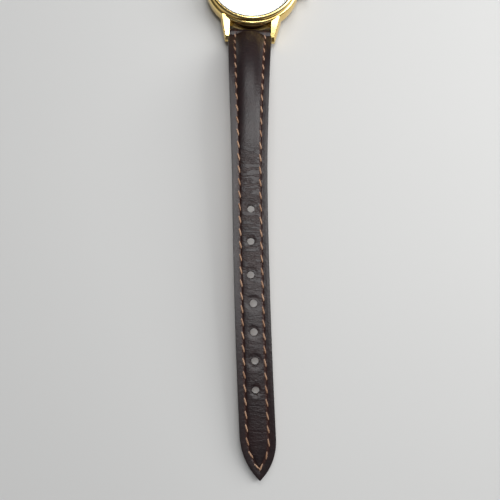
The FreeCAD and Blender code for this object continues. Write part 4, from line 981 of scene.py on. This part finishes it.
def case_ring():
    r, top, foot = case_radius, case_top, case_foot
    section = [(bore, foot), (r - 0.75, foot), (r - 0.15, foot + 0.75), (r, foot + 1.6), (r, top - 0.85),
               (r - 0.22, top - 0.22), (r - 0.62, top), (opening, top), (opening, dial_top + 0.02),
               (bore, dial_top + 0.02)]
    return turned(section, 0.22)


def one_lug():
    root, nose = case_radius - 2.6, lug_reach
    side = [(root, case_foot + 0.05), (nose - 2.2, case_foot + 0.15), (nose - 0.75, case_foot + 0.45),
            (nose - 0.12, case_foot + 1.05), (nose - 0.02, case_foot + 1.55), (nose - 0.22, case_top - 2.25),
            (nose - 0.60, case_top - 1.62), (nose - 1.05, case_top - 1.12),
            (root + 0.1, case_top - 0.01), (root, case_top - 0.01)]
    nothing_selected()
    bpy.ops.mesh.primitive_circle_add(vertices=len(side), radius=0.001, fill_type="NGON")
    lug = bpy.context.object
    for vertex, (y, z) in zip(lug.data.vertices, side):
        vertex.co = (lug_inner * MM, y * MM, z * MM)
    bpy.ops.object.mode_set(mode="EDIT")
    bpy.ops.mesh.select_all(action="SELECT")
    bpy.ops.mesh.extrude_region_move(TRANSFORM_OT_translate={"value": (3.0 * MM, 0, 0)})
    for point, normal in (((lug_inner + 2.20, case_radius - 1.3, 0), (1.0, 0.250, 0.0)),
                          ((lug_inner + 2.00, case_radius - 2.4, case_top), (1.0, 0.30, 0.30)),
                          ((lug_inner + 1.90, root + 0.1, case_top - 0.01), (-0.105, 0.235, 1.0))):
        bpy.ops.mesh.select_all(action="SELECT")
        bpy.ops.mesh.bisect(plane_co=Vector(point) * MM, plane_no=normal, use_fill=True, clear_outer=True)
    settle(lug)
    round_edges(lug, 0.07, 2, 20)
    return settle(lug)


lug = one_lug()
lugs = [lug]
for sign_x, sign_y in ((-1, 1), (1, -1), (-1, -1)):
    twin = copied(lug, "lug")
    twin.scale = (sign_x, sign_y, 1)
    lugs.append(settle(twin))
bar_room = [rod_cutter(TIP_BORE * MM, middle(bar + "_bar_tube"), (1, 0, 0), 2 * (lug_inner + 0.76) * MM)
            for bar in ("six", "twelve")]
ring = case_ring()
tube = middle("crown_tube")
cut_with(ring, rod_cutter(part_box("crown_tube")[1].z - tube.z, tube, (1, 0, 0), 3 * MM))
all_lugs = joined(lugs, "lugs")
cut_with(all_lugs, joined(bar_room, "cutters"))
hand_over(ring, "polished_case_ring", "gold_plate", "case", "case_middle", smooth=32)
hand_over(all_lugs, "polished_lugs", "gold_plate", "case", smooth=12)

# %% [markdown]
# The bezel is a separate ring pressed on the case, with a fine shadow line under it. Its section
# rises from that line, rolls over in one soft curve and dips to the crystal.

# %% Bezel and case back
bezel_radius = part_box("bezel")[1].x / MM
bezel_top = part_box("bezel")[1].z / MM
crystal_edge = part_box("crystal")[1].x / MM
seat = crystal_edge + 0.24
bezel = turned([(opening, case_top), (bezel_radius - 0.36, case_top),
                (bezel_radius - 0.30, case_top + 0.14), (bezel_radius - 0.02, case_top + 0.30),
                (bezel_radius - 0.03, case_top + 0.72), (bezel_radius - 0.30, bezel_top - 0.12),
                (bezel_radius - 0.62, bezel_top), (seat, bezel_top - 0.10),
                (seat, case_top + 0.15), (opening, case_top + 0.15)], 0.16)
hand_over(bezel, "polished_bezel", "gold_plate", "case", "bezel", smooth=40)

back_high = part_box("case_back")[1]
flange = back_high.x / MM
back_top = back_high.z / MM
rim_out = bore - 0.02
back = turned([(0, 0), (4.6, 0), (4.7, 0.05), (8.9, 0.05), (9.0, 0), (bore - 0.70, 0),
               (flange, case_foot - 0.35), (flange, case_foot - 0.02), (rim_out, case_foot - 0.02),
               (rim_out, case_foot + 0.12), (rim_out - 0.16, case_foot + 0.12),
               (rim_out - 0.16, case_foot + 0.36), (rim_out, case_foot + 0.36), (rim_out, back_top),
               (rim_out - 0.45, back_top), (rim_out - 0.45, 0.75), (0, 0.75)], 0.05)
hand_over(back, "snap_case_back", "steel", "case", "case_back", smooth=30)

# %% [markdown]
# ## Crown
# The crown is a small knurled knob. It starts as a cylinder with four points to each rib: one
# of every four is pulled in, which leaves rounded ribs with narrow valleys. Its face is extruded
# in three shrinking steps into a shallow dome, and the bore for the tube is cut from behind.

# %% Crown
def make_crown():
    low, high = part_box("crown")
    radius, length = (high.z - low.z) / 2, high.x - low.x
    centre = middle("crown")
    nothing_selected()
    bpy.ops.mesh.primitive_cylinder_add(vertices=96, radius=radius, depth=length * 0.88, end_fill_type="NGON")
    crown = bpy.context.object
    valley = {0: 0.905, 1: 0.975, 2: 1.0, 3: 0.975}
    for vertex in crown.data.vertices:
        turn = round(math.atan2(vertex.co.y, vertex.co.x) / math.tau * 96) % 4
        vertex.co.x *= valley[turn]
        vertex.co.y *= valley[turn]
    edit(crown, "FACE")
    pick_faces(crown, lambda centre, normal: normal.z > 0.9)
    for share, lift in ((0.92, 0.11), (0.82, 0.07), (0.60, 0.02)):
        bpy.ops.mesh.extrude_region_move(TRANSFORM_OT_translate={"value": (0, 0, lift * MM)})
        bpy.ops.transform.resize(value=(share, share, 1), center_override=(0, 0, 0))
    pick_faces(crown, lambda centre, normal: normal.z < -0.9)
    bpy.ops.mesh.extrude_region_move(TRANSFORM_OT_translate={"value": (0, 0, -0.05 * MM)})
    bpy.ops.transform.resize(value=(0.94, 0.94, 1), center_override=(0, 0, 0))
    bpy.ops.object.mode_set(mode="OBJECT")
    crown.rotation_euler = (0, math.pi / 2, 0)
    crown.location = (low.x + length * 0.45, centre.y, centre.z)
    settle(crown)
    bore_start = low.x - 0.5 * MM
    bore_end = low.x + 1.05 * MM
    tube = (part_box("crown_tube")[1].z - centre.z) + 0.16 * MM
    wide = rod_cutter(tube, ((bore_start + bore_end) / 2, centre.y, centre.z), (1, 0, 0), bore_end - bore_start)
    stem = rod_cutter(0.47 * MM, (low.x + 0.2 * MM, centre.y, centre.z), (1, 0, 0), 2.5 * MM)
    cut_with(crown, wide)
    cut_with(crown, stem)
    return crown


hand_over(make_crown(), "ribbed_crown", "gold_plate", "crown", "crown", smooth=25)

# %% [markdown]
# ## Bent wire and strip
# The buckle frame, its tongue and the two leather keepers are all one section led along straight
# runs and round bends, as a jeweller bends wire. So is this helper: the section is a circle
# primitive shaped by its points, Extrude makes each run and Spin makes each bend. Spin turns the
# other way from the usual right-hand rule, so its angle is negated.

# %% Bend a section along runs and turns
def bent(section, start, ahead, axis, steps, closed=False):
    """Section points are (along the axis, towards the inside) in millimetres, as is start."""
    place, ahead, axis = Vector(start), Vector(ahead).normalized(), Vector(axis).normalized()
    side = axis.cross(ahead)
    nothing_selected()
    bpy.ops.mesh.primitive_circle_add(vertices=len(section), radius=0.001, fill_type="NOTHING")
    piece = bpy.context.object
    for vertex, (up, inside) in zip(piece.data.vertices, section):
        vertex.co = (place + axis * up + side * inside) * MM
    edit(piece)
    bpy.ops.mesh.select_all(action="SELECT")
    for kind, amount, *rest in steps:
        if kind == "run":
            bpy.ops.mesh.extrude_region_move(TRANSFORM_OT_translate={"value": ahead * amount * MM})
            place = place + ahead * amount
            if rest:
                bpy.ops.transform.resize(value=(rest[0],) * 3, center_override=place * MM)
        else:
            radius, count = rest
            centre = place + side * (radius if amount > 0 else -radius)
            bpy.ops.mesh.spin(steps=count, angle=-math.radians(amount), center=centre * MM, axis=axis)
            turn = Matrix.Rotation(math.radians(amount), 3, axis)
            place = centre + turn @ (place - centre)
            ahead, side = turn @ ahead, turn @ side
    settle(piece)
    if not closed:
        close_ends(piece)
    return piece


def oval(half_a, half_b, count=16, square=2.6):
    """A rounded section: a circle squared off a little."""
    points = []
    for k in range(count):
        a = math.tau * k / count
        c, s = math.cos(a), math.sin(a)
        points.append((half_a * math.copysign(abs(c) ** (2 / square), c),
                       half_b * math.copysign(abs(s) ** (2 / square), s)))
    return points


def tilt_of(node):
    """Direction of a node's long side in the plane of its side view."""
    points = corners_of(nodes[node])[:, 1:]
    direction = np.linalg.svd(points - points.mean(0))[2][0]
    return Vector((0, *(direction * np.sign(direction[0]))))


# %% [markdown]
# The keepers are loops of the same leather, stitched closed underneath. The fixed one sits by
# the buckle, the other slides. Their mesh gets the same attributes as the strap, so the same
# finish paints their edges dark.

# %% Keepers
def make_keeper(node, name, body):
    centre = middle(node)
    points = corners_of(nodes[node]) - np.array(centre)
    tallest = np.linalg.svd(points[:, 1:])[2][0]
    up = Vector((0, *(tallest * np.sign(tallest[1]))))
    ahead = up.cross(Vector((1, 0, 0)))
    tall = (points @ np.array(up)).max() / MM
    wide = (points @ np.array(ahead)).max() / MM
    half = points[:, 0].max() / MM
    wall = 0.80
    reach = half - wall / 2
    rise = tall - wall / 2
    bend = 0.85
    section = oval(wide, wall / 2, 24, 3.6)
    start = Vector(centre) / MM - up * rise
    steps = [("run", reach - bend), ("turn", -90, bend, 8), ("run", 2 * (rise - bend)), ("turn", -90, bend, 8),
             ("run", (reach - bend) * 0.5), ("run", (reach - bend)), ("run", (reach - bend) * 0.5),
             ("turn", -90, bend, 8), ("run", 2 * (rise - bend)), ("turn", -90, bend, 8), ("run", reach - bend)]
    keeper = bent(section, start, (1, 0, 0), ahead, steps, closed=True)
    spread = corners_of(keeper) - np.array(centre)
    across = spread @ np.array(ahead)
    round_way = np.arctan2(spread @ np.array(up), spread[:, 0]) * half * MM
    rim = np.maximum(wide * MM - np.abs(across), 0)
    write_values(keeper, along=round_way, across=across, rim=np.where(rim > 0.5 * MM, 0.003, rim),
                 wear=np.zeros(len(across)))
    return hand_over(keeper, name, "strap_leather", body, node, smooth=50)


make_keeper("fixed_keeper", "fixed_leather_keeper", "short_strap")
make_keeper("free_keeper", "sliding_leather_keeper", "free_keeper")

# %% [markdown]
# The buckle is a U of rounded wire with a collar round each end of its bar. The tongue has a
# rolled eye on the same bar and a flat blade that tapers and rests on the front of the frame.

# %% Buckle frame and tongue
def make_buckle():
    bar = middle("buckle_bar_tube") / MM
    ahead = tilt_of("buckle_frame")
    up = Vector((1, 0, 0)).cross(ahead)
    half_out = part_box("buckle_frame")[1].x / MM
    points = corners_of(nodes["buckle_frame"]) / MM - np.array(bar)
    front = (points @ np.array(ahead)).max()
    back = (points @ np.array(ahead)).min()
    wire = 1.30
    reach = half_out - wire / 2
    corner = 2.0
    start = bar + Vector((-reach, 0, 0)) + ahead * back
    run = front - wire / 2 - corner - back
    half_front = reach - corner
    steps = [("run", 0.12, 1.35), ("run", 0.12, 1.13), ("run", run - 0.24), ("turn", -90, corner, 10),
             ("run", half_front * 0.55, 1.06), ("run", half_front * 0.9), ("run", half_front * 0.55, 0.943),
             ("turn", -90, corner, 10), ("run", run - 0.24), ("run", 0.12, 0.885), ("run", 0.12, 0.74)]
    section = [(a * 0.655, b * 0.655) for a, b in oval(wire / 2, wire / 2, 20, 2.5)]
    frame_wire = bent(section, start, ahead, up, steps)
    return frame_wire, bar, ahead, up, reach


def laid_across(piece, place):
    """Lays a spun piece's axis across the strap, at a place in millimetres."""
    piece.rotation_euler = (0, math.pi / 2, 0)
    piece.location = place * MM
    return settle(piece)


frame_wire, bar, ahead, up, reach = make_buckle()
collars = []
for sign in (-1, 1):
    collar = turned([(0, -0.62), (0.88, -0.62), (0.88, 0.62), (0, 0.62)], 0.16, 40)
    collars.append(laid_across(collar, bar + Vector((sign * reach, 0, 0))))
collars = joined(collars, "collars")
cut_with(collars, rod_cutter(TIP_BORE * MM, bar * MM, (1, 0, 0), 2 * (reach + 0.09) * MM))
frame_wire = joined([frame_wire, collars], "buckle_frame_polished")
hand_over(frame_wire, "buckle_frame_polished", "gold_plate", "buckle", "buckle_frame", smooth=45)

roll = turned([(0.71, -0.53), (1.13, -0.53), (1.13, 0.53), (0.71, 0.53)], 0.12, 48)
laid_across(roll, bar)
corners = corners_of(nodes["buckle_tongue"]) / MM - np.array(bar)
k = ((corners @ np.array(ahead)).max() - 0.15) / 10.5
blade = bent(oval(0.53, 0.36, 16, 3.0), bar + up * 0.78 + ahead * 0.1, ahead, (1, 0, 0),
             [("run", 0.9 * k), ("turn", -4, 20.0 * k, 3), ("run", 2.4 * k, 0.93), ("turn", 5, 25.0 * k, 3),
              ("run", 1.5 * k, 0.93), ("turn", -6, 16.0 * k, 4), ("run", 0.15, 0.9), ("run", 0.12, 0.7),
              ("run", 0.06, 0.5)])
tongue = joined([blade, roll], "buckle_tongue_polished")
hand_over(tongue, "buckle_tongue_polished", "gold_plate", "tongue", "buckle_tongue", smooth=45)

# %% [markdown]
# ## Hands
# A dress watch has slim leaf hands: widest at a third of their length, with a ridge along the
# middle so that one half is bright while the other is dark. Each hand starts as a small grid,
# three points across and fifteen along. Its width is set along the leaf, its middle row is
# raised, and Solidify gives it thickness. A turned boss joins it to its pipe.

# %% Leaf hands
def frame_body(node):
    """The moving body that the CAD record puts a node in."""
    groups = frame["record"]["behaviour"]["bodies"]
    return next(body for body, members in groups.items() if node in members)


def make_hand(node, name, length, boss):
    mesh_points = corners_of(nodes[node])
    far = mesh_points[np.argmax(np.hypot(mesh_points[:, 0], mesh_points[:, 1]))]
    heading = math.atan2(far[1], far[0])
    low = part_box(node)[0]
    nothing_selected()
    bpy.ops.mesh.primitive_grid_add(x_subdivisions=14, y_subdivisions=2, size=1)
    leaf = bpy.context.object
    tail = -1.5
    for vertex in leaf.data.vertices:
        t = vertex.co.x + 0.5
        x = tail + (length - tail) * t
        if x < 0:
            width = 0.14 + 0.03 * (x / tail)
        else:
            share = x / length
            width = 0.13 + 0.19 * math.sin(math.pi * min(share / 0.72, 1.0)) ** 1.3 - 0.10 * share ** 2
        width = min(width, 0.31)
        ridge = 0.0 if abs(vertex.co.y) > 0.1 else 0.05
        vertex.co = (x * MM, vertex.co.y * 2 * width * MM, low.z + (0.04 + ridge) * MM)
    modify(leaf, "SOLIDIFY", thickness=0.035 * MM, offset=-1.0)
    leaf.rotation_euler = (0, 0, heading)
    settle(leaf)
    rim = boss + 0.34
    disc = turned([(boss, 0.0), (rim, 0.0), (rim, 0.07), (boss + 0.2, 0.10), (boss, 0.10)], 0.02, 48)
    disc.location = (0, 0, low.z)
    settle(disc)
    return hand_over(joined([leaf, disc], name), name, "gold_plate", frame_body(node), node, smooth=12)


for node, name in (("hour_hand", "hour_leaf"), ("minute_hand", "minute_leaf")):
    radii = [math.hypot(v.co.x, v.co.y) for v in nodes[node].data.vertices]
    make_hand(node, name, max(radii) / MM, min(radii) / MM)

# %% [markdown]
# ## Table, light and camera
# Polished metal and dark leather show what they reflect, so each light has one job. The large
# window box above the right side glances off the crest of the strap and leaves the flat tail
# nearly black. The low side window reaches under the strap, so the table shows pale through the
# holes. The overhead box brightens the worn field, the lug card whitens the left lug's facet,
# and the dial card is what the crystal mirrors towards the eye. The room itself is dim.

# %% Floor
nothing_selected()
bpy.ops.mesh.primitive_plane_add(size=3.0, location=(0, -0.3, 0))
floor = bpy.context.object
floor.name = "table_top"
bpy.ops.object.transform_apply(location=True)
finish = Finish("pale table", IOR=1.4)
paper = finish.noise(finish.place(), 9.0, 2.0)
fibre = finish.noise(finish.place(), 900.0, 2.0)
finish.feed("Base Color", finish.mix(paper, (0.58, 0.58, 0.572, 1), (0.61, 0.61, 0.60, 1)))
finish.feed("Roughness", 0.75 + fibre * 0.1)
floor.data.materials.append(finish.material)


# %% Lights and world
def soft_box(name, place, aim, size, power):
    lamp = bpy.data.lights.new(name, "AREA")
    lamp.shape = "RECTANGLE"
    lamp.size, lamp.size_y = size
    lamp.energy = power
    light = bpy.data.objects.new(name, lamp)
    bpy.context.scene.collection.objects.link(light)
    light.location = place
    light.rotation_euler = (Vector(aim) - Vector(place)).to_track_quat("-Z", "Y").to_euler()
    return light


soft_box("window", (0.16, 0.06, 0.44), (0.03, 0.01, 0.0), (0.38, 0.28), 0.85)
soft_box("side window", (0.27, 0.05, 0.21), (0.02, -0.02, 0.0), (0.20, 0.26), 0.75)
soft_box("overhead", (0.012, -0.045, 0.50), (0.002, -0.06, 0.0), (0.11, 0.14), 0.50)
soft_box("lug card", (-0.085, 0.05, 0.60), (0.0, -0.012, 0.0), (0.09, 0.13), 0.28)
soft_box("dial card", (-0.01, 0.37, 0.50), (0.0, -0.007, 0.0), (0.26, 0.12), 0.75)

world = bpy.data.worlds.new("pale room")
bpy.context.scene.world = world
world.use_nodes = True
world.node_tree.nodes["Background"].inputs["Color"].default_value = (0.93, 0.95, 1.0, 1)
world.node_tree.nodes["Background"].inputs["Strength"].default_value = 0.10

# %% Camera
camera_data = bpy.data.cameras.new("camera")
camera_data.lens = 42.5
camera_data.sensor_width = 36.0
camera_data.clip_start = 0.005
camera_data.clip_end = 20.0
camera = bpy.data.objects.new("camera", camera_data)
bpy.context.scene.collection.objects.link(camera)
camera.location = (0.00377, -0.0937, 0.137)
aim = Vector((0.00254, -0.0676, 0.0))
camera.rotation_euler = (aim - camera.location).to_track_quat("-Z", "Y").to_euler()
bpy.context.scene.camera = camera
bpy.context.scene.view_settings.view_transform = "Standard"
